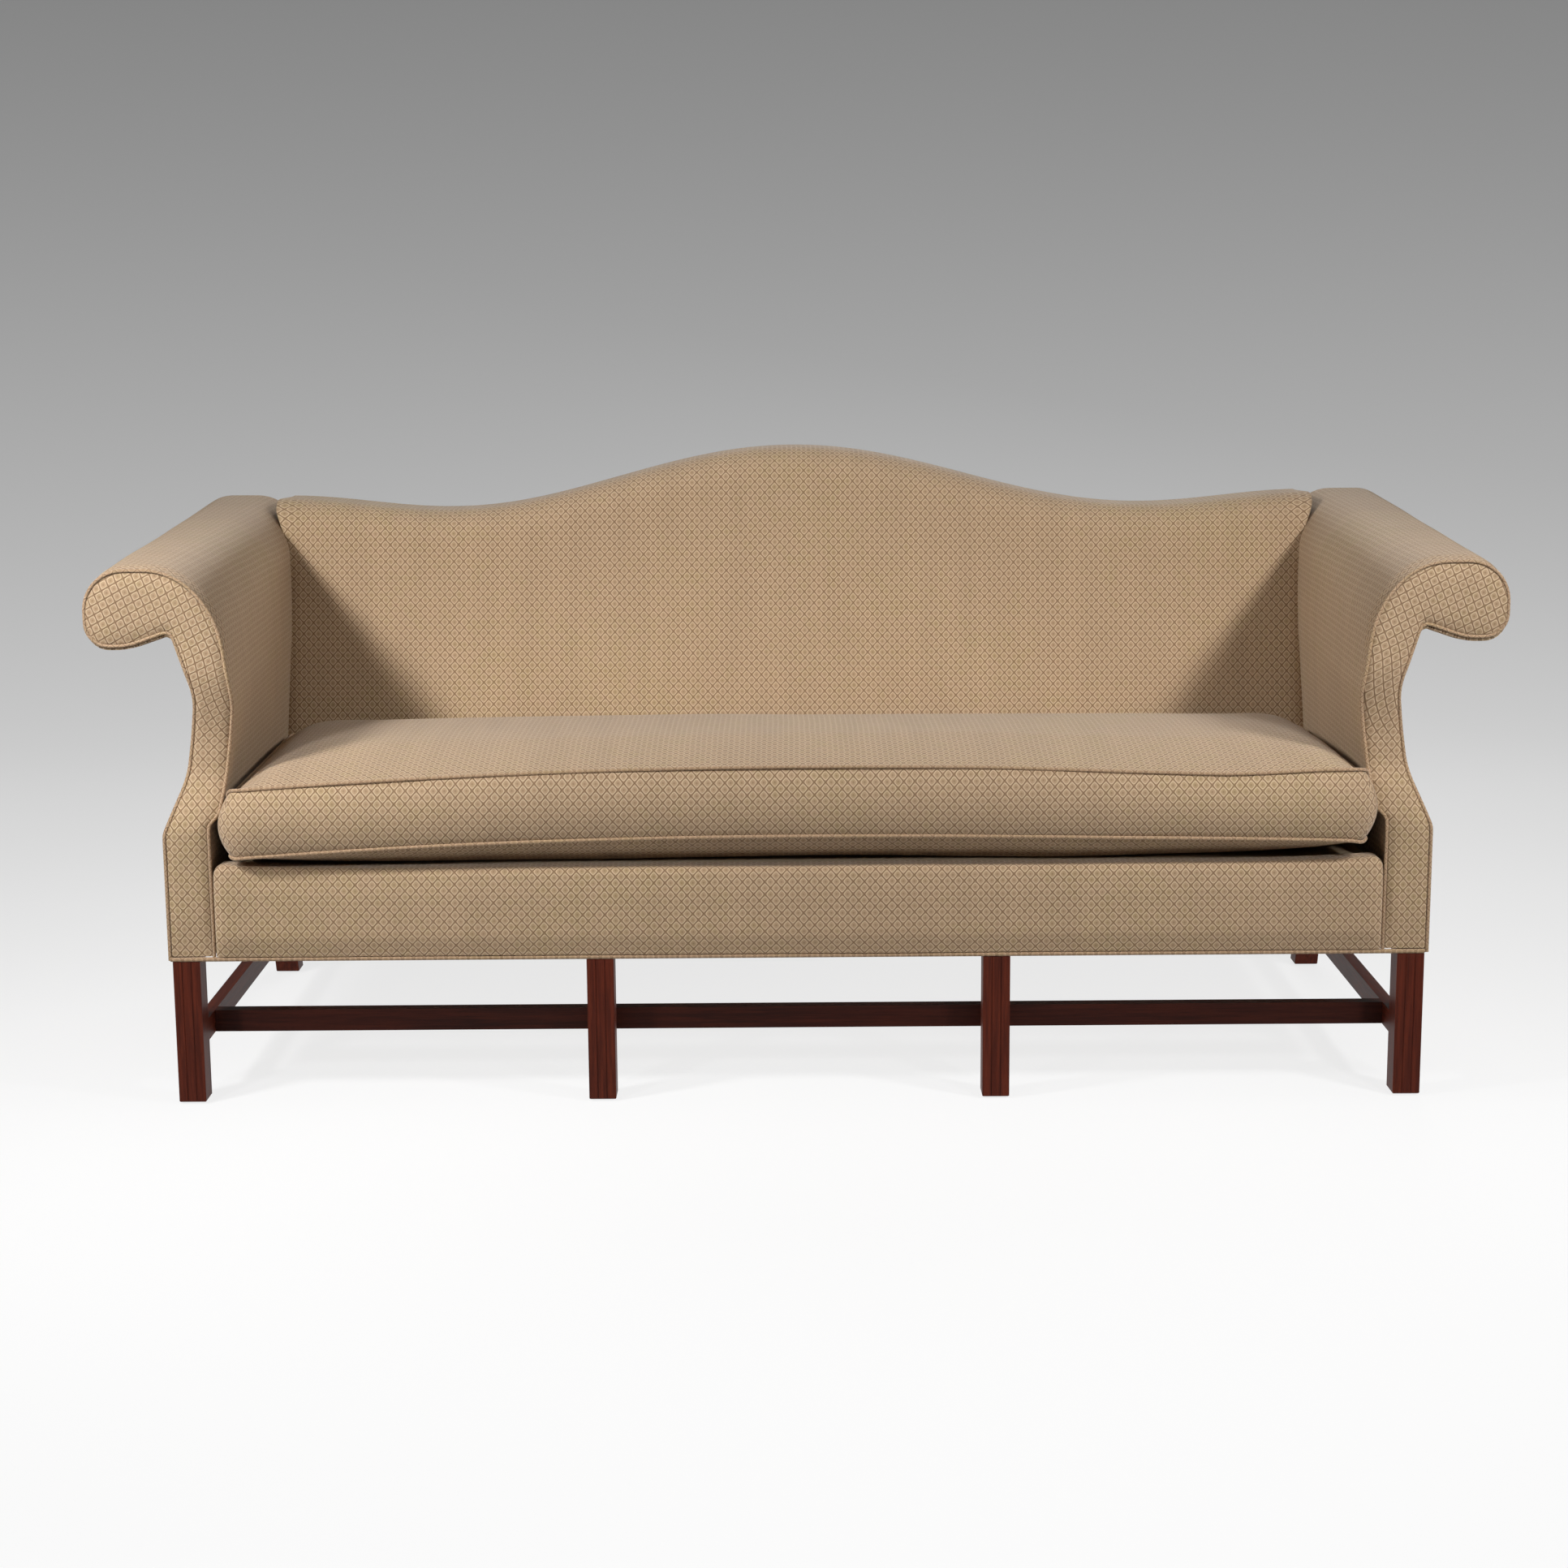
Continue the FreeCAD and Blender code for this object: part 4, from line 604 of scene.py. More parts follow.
springSteel = plainMaterial("springSteel", (0.28, 0.28, 0.29), 0.34, 300.0, 0.3, metallic=1.0)
glideNickel = plainMaterial("glideNickel", (0.12, 0.11, 0.10), 0.42, 400.0, 0.4, metallic=1.0)
zipBrass = plainMaterial("zipBrass", (0.52, 0.38, 0.17), 0.34, 500.0, 0.3, metallic=1.0)
zipTape = plainMaterial("zipTape", (0.36, 0.25, 0.15), 0.85, 900.0, 0.4)
liningCloth = plainMaterial("liningCloth", (0.42, 0.33, 0.22), 0.92, 700.0, 0.35)
stuffing = plainMaterial("stuffing", (0.72, 0.68, 0.58), 0.95, 120.0, 0.3)
webJute = plainMaterial("webJute", (0.40, 0.27, 0.13), 0.92, 500.0, 0.4)



def pairs(*names):
    return [name + side for name in names for side in ("_left", "_right")]


nodeFinish = {
    mahoganyUpright: pairs("front_leg", "middle_leg", "back_leg"),
    mahoganyAlongPaintedShade: ["long_stretcher"],
    mahoganyDeep: pairs("side_stretcher"),
    beechFrame: pairs("side_rail", "scroll_board", "arm_top_rail", "back_post")
    + ["front_rail", "back_rail", "seat_cross_rails", "corner_blocks", "arm_tack_rails", "arm_rear_posts",
       "back_uprights", "back_top_rail", "back_tack_rail"],
    springSteel: ["seat_springs", "spring_clips", "corner_screws"],
    glideNickel: ["leg_glides"],
    zipBrass: ["zip_slider"],
    liningCloth: ["deck_cover", "spring_insulator"],
    stuffing: ["arm_roll_stuffing", "seat_deck_pad"],
    webJute: ["back_webbing"],
}
for material, names in nodeFinish.items():
    for name in names:
        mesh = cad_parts[name].data
        mesh.materials.clear()
        mesh.materials.append(material)
print("materials made")

# Arms: one cover from the deck over the roll to the crotch, an outside panel, a facing and its welt

# corners of an arm's outline at its front and rear end, from the inner foot over the roll to the outer
# foot: distance from the middle of the sofa, height and rounding
armFront = [
    (882, 230, 0), (882, 432, 10), (867, 448, 18), (842, 615, 130), (859, 744, 150), (921, 814, 100),
    (1054, 814, 60), (1054, 694, 34), (993, 694, 95), (928, 717, 12), (897, 626, 100), (916, 500, 200),
    (949, 418, 25), (949, 230, 0),
]
armRear = [
    (871, 230, 0), (871, 432, 10), (868, 448, 18), (865, 640, 130), (868, 812, 60), (905, 862, 68),
    (1041, 862, 55), (1041, 750, 34), (983, 750, 80), (931, 771, 12), (902, 672, 80), (919, 530, 200),
    (949, 440, 25), (949, 230, 0),
]
arm = {
    "run": 796.5,
    # corner numbers: the end of the roll's top, and the seam under the roll
    "tip": 6,
    "crotch": 9,
    "coverThickness": 11,
    "coverFoot": 337,
    "footSteps": 12,
    "fullness": 4,
    "fullShare": (0, 0.035),
    "fullHeights": (600, 720),
    "puff": (1.6, 5.0),
    "panelThickness": 5,
    "setBack": 5,
    "clothStart": 0.3,
    # the facing is dished behind the cushion's end and comes forward again at the scroll
    "dish": 37,
    "dishHeights": (415, 520),
    "scrollForward": 24,
    "scrollHeights": (545, 670),
    "facingLift": 8,
    "facingSetIn": 3.4,
    "facingCrown": 5,
    "facingThickness": 4,
    "facingColumns": 22,
    "facingRows": 150,
    "patternTurn": 20,
    "turnHeights": (520, 700),
    "patternCentre": (900, 500),
    "endStep": 5,
    "endColumns": 16,
    "endRows": 100,
    "endCrown": 1.5,
    "endThickness": 4,
    "weltRadius": 2.7,
    "weltForward": 2.2,
    "weltStep": 0.006,
    "weltFoot": 225,
}
facingOutline = [list(corner) for corner in armFront]
for k in range(arm["tip"] + 1, arm["crotch"] + 1):
    facingOutline[k][1] += arm["facingLift"]


def facingDepth(z):
    dish = arm["dish"] * smooth(*arm["dishHeights"], z)
    return dish - arm["scrollForward"] * smooth(*arm["scrollHeights"], z)


lastCorner = len(armFront) - 1
armSteps = stepsOf(armFront, sofa["step"])
coverSteps = [(0, arm["footSteps"])] + armSteps[1:]
coverFront = lineOf([(armFront[0][0], arm["coverFoot"], 0)] + armFront[1:], coverSteps, 0, arm["crotch"])
coverRear = lineOf([(armRear[0][0], arm["coverFoot"], 0)] + armRear[1:], coverSteps, 0, arm["crotch"])
panelFront = lineOf(armFront, armSteps, arm["crotch"], lastCorner)
panelRear = lineOf(armRear, armSteps, arm["crotch"], lastCorner)


def armPatch(name, side, front, rear, fullness=0):
    # the surface between the front and rear outlines of an arm, fuller behind its front seam
    columns = int(arm["run"] / sofa["step"])
    frontRun = lengthsAlong(front)
    rearRun = lengthsAlong(rear)

    def place(i, j):
        share = i / columns
        start = facingDepth(front[j].y) + arm["setBack"]
        y = start + (rearAt(front[j].y) - 1 - start) * share
        at = front[j].lerp(rear[j], y / arm["run"])
        if fullness:
            along = (front[min(j + 1, len(front) - 1)] - front[max(j - 1, 0)]).normalized()
            swell = fullness * smooth(*arm["fullShare"], share) * smooth(*arm["fullHeights"], at.y)
            at = at - Vector((along.y, -along.x)) * swell
        return spot(side * at.x, y, at.y)

    def lay(i, j):
        share = i / columns
        run = frontRun[j] + (rearRun[j] - frontRun[j]) * share
        return (arm["clothStart"] + arm["run"] * 0.001 * share, 0.001 * run)

    return clothPatch(name, columns, len(front) - 1, place, lay)


def endEdges(outline, steps):
    # the inner and outer edges of an arm's end, with a point for each millimetre
    inner = lineOf(outline, steps, 0, arm["tip"])
    outer = lineOf(outline, steps, arm["tip"] + 1, lastCorner)[::-1]
    return [evenly([p.to_3d() for p in edge], 1, False) for edge in (inner, outer)]


def edgePoints(edges, share):
    return [edge[round(share * (len(edge) - 1))] for edge in edges]


def makeFacing(word, side):
    # strips from the inner edge of the scroll to its outer edge, and the welt round them
    rows = arm["facingRows"]
    columns = arm["facingColumns"]
    steps = stepsOf(facingOutline, arm["endStep"])
    edges = endEdges(facingOutline, steps)

    def between(i, j):
        # a place on the facing, and how far it is from the middle of its strip, from -1 to 1
        left, right = edgePoints(edges, j / rows)
        half = (right - left).length / 2
        reach = max(half - arm["facingSetIn"], half * 0.3)
        swing = 2 * i / columns - 1
        return left.lerp(right, 0.5) + (right - left).normalized() * reach * swing, swing

    def place(i, j):
        at, swing = between(i, j)
        end = min(j, rows - j) / rows
        crown = arm["facingCrown"] * (1 - swing ** 4) * min(end * 12, 1)
        return spot(side * at.x, facingDepth(at.y) + 2 - crown, max(at.y, sofa["footHeight"] + 1))

    def lay(i, j):
        # the lattice turns with the scroll
        at = between(i, j)[0]
        turn = side * math.radians(arm["patternTurn"]) * smooth(*arm["turnHeights"], at.y)
        x = (at.x - arm["patternCentre"][0]) * 0.001
        z = (at.y - arm["patternCentre"][1]) * 0.001
        return (x * math.cos(turn) - z * math.sin(turn), x * math.sin(turn) + z * math.cos(turn))

    facing = clothPatch("armFacing" + word, columns, rows, place, lay)
    coverWith(facing, (side * 0.93, 5, 0.6), arm["facingThickness"], ["arm_facing_" + word.lower()])

    foot = sofa["footHeight"] + 1
    ring = [spot(side * p.x, facingDepth(p.y) + arm["weltForward"], p.y if p.y > foot else arm["weltFoot"])
            for p in lineOf(facingOutline, steps, 0, lastCorner)]
    welt = roundCord("facingWelt" + word, evenly(ring, arm["weltStep"], False), arm["weltRadius"] * 0.001,
                     (0, 1, 0), closed=False)
    dress(welt, weltFabric, nodes=["facing_welts"])


def makeArm(word, side):
    cover = armPatch("armCover" + word, side, coverFront, coverRear, arm["fullness"])
    coverWith(cover, (side * 0.93, 0, 0.6), arm["coverThickness"],
              ["arm_cover_" + word.lower(), "arm_pad_" + word.lower()], (*arm["puff"], 3 + side))
    panel = armPatch("outsideArm" + word, side, panelFront, panelRear)
    coverWith(panel, (side * 0.88, 0, 0.55), arm["panelThickness"], ["outside_arm_" + word.lower()])
    makeFacing(word, side)


for word, side in (("Left", -1), ("Right", 1)):
    makeArm(word, side)
print("arms made")

# Back: one padded cover from the deck over the crest to the rear seam, and the outside panel

back = {
    "seat": 585,
    "top": 668,
    "seatLevel": 480,
    "dip": 847,
    "wing": 866,
    "humpHalf": 600,
    "wingHalf": 890,
    "reach": 872,
    "foot": 356,
    "frontRound": 56,
    "rearRound": 20,
    "step": 10,
    "frontSteps": 46,
    # the ends are tucked in beside the arms and spread over their tops
    "endFrom": 846,
    "endTuck": 8,
    "tuckShare": 0.6,
    "endSpread": 14,
    "spreadHeights": (806, 858),
    "spreadDepths": (690, 750),
    "puff": (2.5, 3.2, 11),
    "coverThickness": 10,
    "proud": 0.4,
    "panelHalf": 869,
    "panelStep": 12,
    "panelRows": 60,
    "panelBow": 2.5,
    "panelThickness": 4,
}


def crestAt(x):
    # a high hump that falls to a dip on each side and rises a little to the wings
    x = abs(x)
    if x < back["humpHalf"]:
        rise = (1 + math.cos(math.pi * x / back["humpHalf"])) / 2
        return back["dip"] + (sofa["humpHeight"] - back["dip"]) * rise
    share = min((x - back["humpHalf"]) / (back["wingHalf"] - back["humpHalf"]), 1)
    return back["dip"] + (back["wing"] - back["dip"]) * (1 - math.cos(math.pi * share)) / 2


def insideAt(z):
    # depth of the inside back, which leans more than the outside
    share = (z - back["seatLevel"]) / (sofa["humpHeight"] - back["seatLevel"])
    return back["seat"] + share * (back["top"] - back["seat"])


def backCorners(x):
    crest = crestAt(x)
    return [
        (insideAt(back["foot"]), back["foot"], 0),
        (insideAt(crest), crest, back["frontRound"]),
        (rearAt(crest), crest, back["rearRound"]),
        (rearAt(back["foot"]), back["foot"], 0),
    ]


def makeInsideBack():
    columns = int(2 * back["reach"] / back["step"])
    places = [back["reach"] * (2 * i / columns - 1) for i in range(columns + 1)]
    steps = stepsOf(backCorners(0), back["step"])
    steps[0] = (0, back["frontSteps"])
    lines = [lineOf(backCorners(x), steps, 0, 2) for x in places]
    runs = [lengthsAlong(line) for line in lines]

    def place(i, j):
        x = places[i]
        at = lines[i][j]
        end = max((abs(x) - back["endFrom"]) / (back["reach"] - back["endFrom"]), 0)
        tuck = back["endTuck"] * end ** 2 if j < len(lines[i]) * back["tuckShare"] else 0
        spread = smooth(*back["spreadHeights"], at.y) * (1 - smooth(*back["spreadDepths"], at.x))
        return spot(x + math.copysign(back["endSpread"] * end * spread, x), at.x + tuck, at.y)

    cover = clothPatch("insideBack", columns, len(lines[0]) - 1, place,
                       lambda i, j: (places[i] * 0.001, runs[i][j] * 0.001))
    coverWith(cover, (0, 0.33, 0.5), back["coverThickness"], ["back_cover", "back_pad"], back["puff"])


def makeOutsideBack():
    half = back["panelHalf"]
    columns = int(2 * half / back["panelStep"])
    rows = back["panelRows"]

    def at(i, j):
        x = half * (2 * i / columns - 1)
        top = crestAt(x) - back["rearRound"]
        return x, sofa["footHeight"] + (top - sofa["footHeight"]) * j / rows

    def place(i, j):
        x, z = at(i, j)
        bow = back["panelBow"] * (1 - (x / half) ** 2) * math.sin(math.pi * j / rows)
        return spot(x, rearAt(z) + back["proud"] + bow, z)

    panel = clothPatch("outsideBack", columns, rows, place, lambda i, j: [0.001 * c for c in at(i, j)])
    coverWith(panel, (0, 0, 0.5), back["panelThickness"], ["outside_back"])


def makeArmEnd(word, side):
    # closes the rear end of an arm
    edges = endEdges(armRear, stepsOf(armRear, arm["endStep"]))
    columns = arm["endColumns"]
    rows = arm["endRows"]

    def at(i, j):
        left, right = edgePoints(edges, j / rows)
        return left.lerp(right, i / columns)

    def place(i, j):
        here = at(i, j)
        crown = arm["endCrown"] * (1 - (2 * i / columns - 1) ** 4)
        return spot(side * here.x, rearAt(here.y) + back["proud"] + crown, here.y)

    panel = clothPatch("armEnd" + word, columns, rows, place, lambda i, j: tuple(at(i, j).xy * 0.001))
    coverWith(panel, (side * 0.93, 0, 0.6), arm["endThickness"])


makeInsideBack()
makeOutsideBack()
for word, side in (("Left", -1), ("Right", 1)):
    makeArmEnd(word, side)
print("back made")

# Front border under the cushion

border = {
    "half": 879,
    "foot": 230.5,
    "top": 365,
    "endLift": 9,
    "bulge": 11,
    "front": -2,
    "lowBend": 260,
    "topBend": 40,
    "rounding": 50,
    "topRound": 12,
    "corner": 18,
    "lip": 33,
    "lipFoot": 330,
    "board": 5.5,
    "step": 6,
    # distances of the outermost columns from each end, and how many columns lie between them
    "endPlaces": (0, 1, 2.5, 5, 8, 12, 18),
    "inset": 26,
    "columns": 150,
    "endRound": 14,
    "puff": (1.2, 4.0, 5),
    "thickness": 3,
    "weltRadius": 3.4,
    "weltHeight": 226.5,
    "weltStep": 0.008,
}


def borderCorners(x):
    fromEnd = border["half"] - abs(x)
    drop = 0
    if fromEnd < border["corner"]:
        drop = border["corner"] - math.sqrt(border["corner"] ** 2 - (border["corner"] - fromEnd) ** 2)
    top = border["top"] + border["endLift"] * (abs(x) / border["half"]) ** 8 - drop
    bulge = border["bulge"] - drop / 3
    return [
        (border["board"], border["foot"], 0),
        (border["front"], border["foot"], 0),
        (-bulge, border["lowBend"], border["rounding"]),
        (-bulge, top - border["topBend"], border["rounding"]),
        (5 - bulge, top, border["topRound"]),
        (border["lip"], top - 0.5, 0),
        (border["lip"], border["lipFoot"], 0),
    ]


def makeBorder():
    steps = stepsOf(borderCorners(0), border["step"])
    ends = [border["half"] - drop for drop in border["endPlaces"]]
    middle = [(border["half"] - border["inset"]) * (2 * k / border["columns"] - 1)
              for k in range(border["columns"] + 1)]
    # the first and last columns stand twice: the outer ones turn in to the board
    places = [-ends[0]] + [-x for x in ends] + middle + ends[::-1] + [ends[0]]
    lines = [lineOf(borderCorners(x), steps, 1, 5) for x in places]
    runs = [lengthsAlong(line) for line in lines]
    last = len(places) - 1
    board = border["board"]

    def place(i, j):
        at = lines[i][j]
        fromEnd = border["half"] - abs(places[i])
        fall = math.sqrt(max(1 - (1 - min(fromEnd / border["endRound"], 1)) ** 2, 0))
        y = at.x
        if y < board:
            y = board + (y - board) * (0.35 + 0.65 * fall)
        if i in (0, last):
            y = max(y, board + 6)
        return spot(places[i], y, at.y)

    cover = clothPatch("frontBorder", last, len(lines[0]) - 1, place,
                       lambda i, j: (places[i] * 0.001, runs[i][j] * 0.001))
    coverWith(cover, (0, -0.37, 0.30), border["thickness"], ["front_border_cover", "front_border_pad"],
              border["puff"])


def makeBottomWelt():
    radius = border["weltRadius"]
    half = armFront[-1][0] + 1 - radius
    front = border["front"] + radius
    rear = sofa["rearFaceAtFoot"] + 1 - radius
    corners = ((-half, front), (half, front), (half, rear), (-half, rear))
    line = evenly([spot(x, y, border["weltHeight"]) for x, y in corners], border["weltStep"], True)
    welt = roundCord("bottomWelt", line, radius * 0.001, (0, 0, 1))
    dress(welt, weltFabric, nodes=["bottom_welt"])


makeBorder()
makeBottomWelt()
print("border and bottom welt made")

# Loose seat cushion

cushion = {
    "half": 852,
    "nose": -40,
    "rear": 562,
    "slope": 1.3,
    "deck": 366,
    "deckGap": 0.6,
    "zipGap": 0.6,
    "frontSeam": 152,
    "frontBoxing": 102,
    "arch": 23,
    "backSeam": 143,
    "backBoxing": 104,
    # the seams sag to the left end, and the right front corner is lifted
    "boxingLoss": (-2, 5),
    "leftSag": 9,
    "leftLowSag": 5,
    "rightLift": 15,
    "rightLiftShare": (0.72, 1),
    "rightDip": 3,
    "rightDipShare": (0.3, 0.6),
    "rightLowLift": 4,
    "rightLowShare": (0.5, 1),
    "rightBellyLift": 8,
    "rightBellyShare": (0.45, 1),
    "crown": 27,
    "shoulder": 110,
    "squeeze": 17,
    "squeezeShare": (0.93, 1),
    "squeezeDepth": (0.03, 0.09),
    "bulge": 14,
    "endBulge": 17,
    "tightBulge": 5,
    "armFront": 15,
    "armTight": 55,
    "corner": 34,
    "endLift": 14,
    "belly": 78,
    "puff": (2.0, 4.5, 7),
    "weltRadius": 2.8,
    "weltLift": 0.0012,
    "weltStep": 0.007,
    "columns": 142,
    "rows": 50,
    "boxing": 10,
}
# the cloth run that fills the case
filling = {
    "frames": 20,
    "pressure": 3.0,
    "farthest": 0.007,
    "quality": 6,
    "mass": 0.4,
    "tension": 25,
    "compression": 8,
    "shear": 8,
    "bending": 1.2,
}


def onDeck(x, y, height):
    # a place over the sloping deck
    slope = math.radians(cushion["slope"])
    return spot(x, y * math.cos(slope) + height * math.sin(slope),
                cushion["deck"] - y * math.sin(slope) + height * math.cos(slope))


def cushionPlan(a, b):
    # a and b run from -1 to 1: the place on the seam's rounded outline or inside it, the way out, and
    # the distance from the outline
    reachX = cushion["half"]
    low = cushion["nose"] + cushion["bulge"]
    high = cushion["rear"] - cushion["bulge"]
    middle = (low + high) / 2
    reachY = (high - low) / 2
    corner = cushion["corner"]
    x = abs(a) * reachX
    y = abs(b) * reachY
    s = (x - (reachX - corner)) / corner
    t = (y - (reachY - corner)) / corner
    out = Vector((1, 0) if s >= t else (0, 1))
    if s > 0 and t > 0:
        s, t = s * math.sqrt(1 - t * t / 2), t * math.sqrt(1 - s * s / 2)
        x = reachX - corner + s * corner
        y = reachY - corner + t * corner
        out = Vector((s, t)).normalized()
    signX = -1 if a < 0 else 1
    signY = -1 if b < 0 else 1
    inside = min(reachX - x, reachY - y)
    return signX * x, middle + signY * y, Vector((signX * out.x, signY * out.y)), inside


def seamHeights(x, y):
    # heights of the upper and lower seam over the deck, and how near an end they are
    share = min(abs(x) / cushion["half"], 1)
    front = cushion["frontSeam"] - cushion["arch"] * share ** 2
    frontLow = front - cushion["frontBoxing"] + cushion["boxingLoss"][x > 0] * share ** 2
    if x < 0:
        front -= cushion["leftSag"] * share ** 2
        frontLow -= cushion["leftLowSag"] * share ** 3
    else:
        front += cushion["rightLift"] * smooth(*cushion["rightLiftShare"], share)
        front -= cushion["rightDip"] * smooth(*cushion["rightDipShare"], share)
        frontLow += cushion["rightLowLift"] * smooth(*cushion["rightLowShare"], share)
    depth = min(max((y - cushion["nose"]) / (cushion["rear"] - cushion["nose"]), 0), 1)
    top = front + (cushion["backSeam"] - front) * depth
    held = smooth(*cushion["squeezeShare"], share) * smooth(*cushion["squeezeDepth"], depth)
    top -= cushion["squeeze"] * held
    low = frontLow + (cushion["backSeam"] - cushion["backBoxing"] - frontLow) * depth
    return top, low, share


def griddedBox(name, columns, rows, levels):
    # a cube cut into even faces along each of its sides
    deselectAll()
    bpy.ops.mesh.primitive_cube_add(size=2)
    piece = bpy.context.object
    piece.name = name
    piece.data.name = name
    for axis, parts in enumerate((columns, rows, levels)):
        # only the edges along this axis are still as long as the cube
        selectEdges(piece, lambda start, end: abs(end[axis] - start[axis]) > 1.9)
        bpy.ops.mesh.subdivide(number_cuts=parts - 1)
        bpy.ops.object.mode_set(mode="OBJECT")
    piece.data.uv_layers.active.name = "cloth"
    return piece


def cushionPoint(a, b, c):
    # where a point of the cube goes on the cushion
    x, y, out, inside = cushionPlan(a, b)
    top, low, share = seamHeights(x, y)
    if c > 0.999:
        # a crowned panel that falls steeply to the end seams
        fromEnd = min((cushion["half"] - abs(x)) / cushion["shoulder"], 1)
        shoulder = (1 - (1 - fromEnd) ** 2.6) ** 0.45
        height = top + cushion["crown"] * shoulder * (0.6 * (1 - b ** 4) ** 0.7 + 0.4 * (1 - b * b))
    elif c < -0.999:
        floor = cushion["deckGap"] + cushion["endLift"] * share ** 8
        if x > 0:
            floor += cushion["rightBellyLift"] * smooth(*cushion["rightBellyShare"], share) * (1 - b) / 2
        fall = max(1 - inside / cushion["belly"], 0)
        height = floor + max(low - floor, 0) * fall ** 2
    else:
        # the boxing bulges, less where the arms hold it
        down = (1 - c) / 2
        bulge = 4 * down * (1 - down)
        free = 1 - smooth(cushion["armFront"], cushion["armTight"], y)
        x += out.x * bulge * (cushion["tightBulge"] + (cushion["endBulge"] - cushion["tightBulge"]) * free)
        y += out.y * bulge * cushion["bulge"]
        height = top + (low - top) * down
    return onDeck(x, y, height)


def makeCushion():
    # the case, the places of its points on the cube, and the numbers of those on each seam in order
    piece = griddedBox("seatCushion", cushion["columns"], cushion["rows"], cushion["boxing"])
    mesh = piece.data
    unit = [v.co.copy() for v in mesh.vertices]
    for vertex, co in zip(mesh.vertices, unit):
        vertex.co = cushionPoint(*co)
    mesh.update()
    layer = mesh.uv_layers.active
    for face in mesh.polygons:
        ends = [unit[k] for k in face.vertices]
        level = all(abs(co.z) > 0.999 for co in ends) and abs(sum(co.z for co in ends)) > 3.9
        side = all(abs(co.x) > 0.999 for co in ends)
        for index in face.loop_indices:
            co = mesh.vertices[mesh.loops[index].vertex_index].co
            layer.data[index].uv = co.xy if level else (co.y, co.z) if side else (co.x, co.z)
    turnOutwards(piece)

    def around(k):
        a, b = unit[k].xy
        if abs(b + 1) < 0.001:
            return a + 1
        if abs(a - 1) < 0.001:
            return 2 + b + 1
        if abs(b - 1) < 0.001:
            return 4 + 1 - a
        return 6 + 1 - b

    seams = {}
    for level, word in ((1, "Top"), (-1, "Low")):
        found = [k for k, co in enumerate(unit)
                 if abs(co.z - level) < 0.001 and max(abs(co.x), abs(co.y)) > 0.999]
        seams[word] = sorted(found, key=around)
    return piece, seams


def plump(piece, pinned):
    # a short cloth run that fills the case, with the seams held
    rest = [v.co.copy() for v in piece.data.vertices]
    group = piece.vertex_groups.new(name="seams")
    group.add(pinned, 1.0, "REPLACE")
    takeUp(piece)
    cloth = piece.modifiers.new("fill", "CLOTH")
    settings = cloth.settings
    settings.quality = filling["quality"]
    settings.mass = filling["mass"]
    settings.tension_stiffness = filling["tension"]
    settings.compression_stiffness = filling["compression"]
    settings.shear_stiffness = filling["shear"]
    settings.bending_stiffness = filling["bending"]
    settings.use_pressure = True
    settings.uniform_pressure_force = filling["pressure"]
    settings.effector_weights.gravity = 0
    settings.vertex_group_mass = "seams"
    scene.frame_start = cloth.point_cache.frame_start = 1
    scene.frame_end = cloth.point_cache.frame_end = filling["frames"]
    for number in range(1, filling["frames"] + 1):
        scene.frame_set(number)
    bpy.ops.object.modifier_apply(modifier=cloth.name)
    for vertex, start in zip(piece.data.vertices, rest):
        move = vertex.co - start
        if move.length > filling["farthest"]:
            vertex.co = start + move.normalized() * filling["farthest"]
    scene.frame_set(1)


def finishCushion():
    piece, seams = makeCushion()
    plump(piece, seams["Top"] + seams["Low"])
    slope = math.tan(math.radians(cushion["slope"]))
    for vertex in piece.data.vertices:
        # nothing goes lower than the deck it lies on
        depth = vertex.co.y * 1000 - sofa["frontShift"]
        vertex.co.z = max(vertex.co.z, (cushion["deck"] - depth * slope + cushion["deckGap"]) * 0.001)
    lines = {word: [piece.data.vertices[k].co.copy() for k in found] for word, found in seams.items()}
    finer = piece.modifiers.new("finer", "SUBSURF")
    finer.levels = 1
    finer.render_levels = 1
    finer.boundary_smooth = "PRESERVE_CORNERS"
    applyModifiers(piece)
    puffOut(piece, *cushion["puff"])
    rearmost = (cushion["rear"] - cushion["zipGap"] + sofa["frontShift"]) * 0.001
    for vertex in piece.data.vertices:
        # the zip runs free along the back of the case
        vertex.co.y = min(vertex.co.y, rearmost)
    dress(piece, sofaFabric, "seat_cushion",
          ["cushion_core", "cushion_top_panel", "cushion_bottom_panel", "cushion_boxing"])
    for word, line in lines.items():
        lift = Vector((0, 0, cushion["weltLift"] if word == "Top" else -cushion["weltLift"]))
        line = evenly([p + lift for p in line], cushion["weltStep"], True)
        welt = roundCord("cushionWelt" + word, line, cushion["weltRadius"] * 0.001, (0, 0, 1))
        dress(welt, weltFabric, "seat_cushion", ["cushion_welts"])


finishCushion()
print("cushion made")

# Deck and dust cover

deck = {
    "half": 0.868,
    "gap": 0.2,
    "edgeFall": 0.004,
    "columns": 60,
    "rows": 26,
}
dust = {
    "columns": 60,
    "rows": 30,
    "sag": 0.002,
    "gap": 0.0002,
    "thickness": 0.6,
}


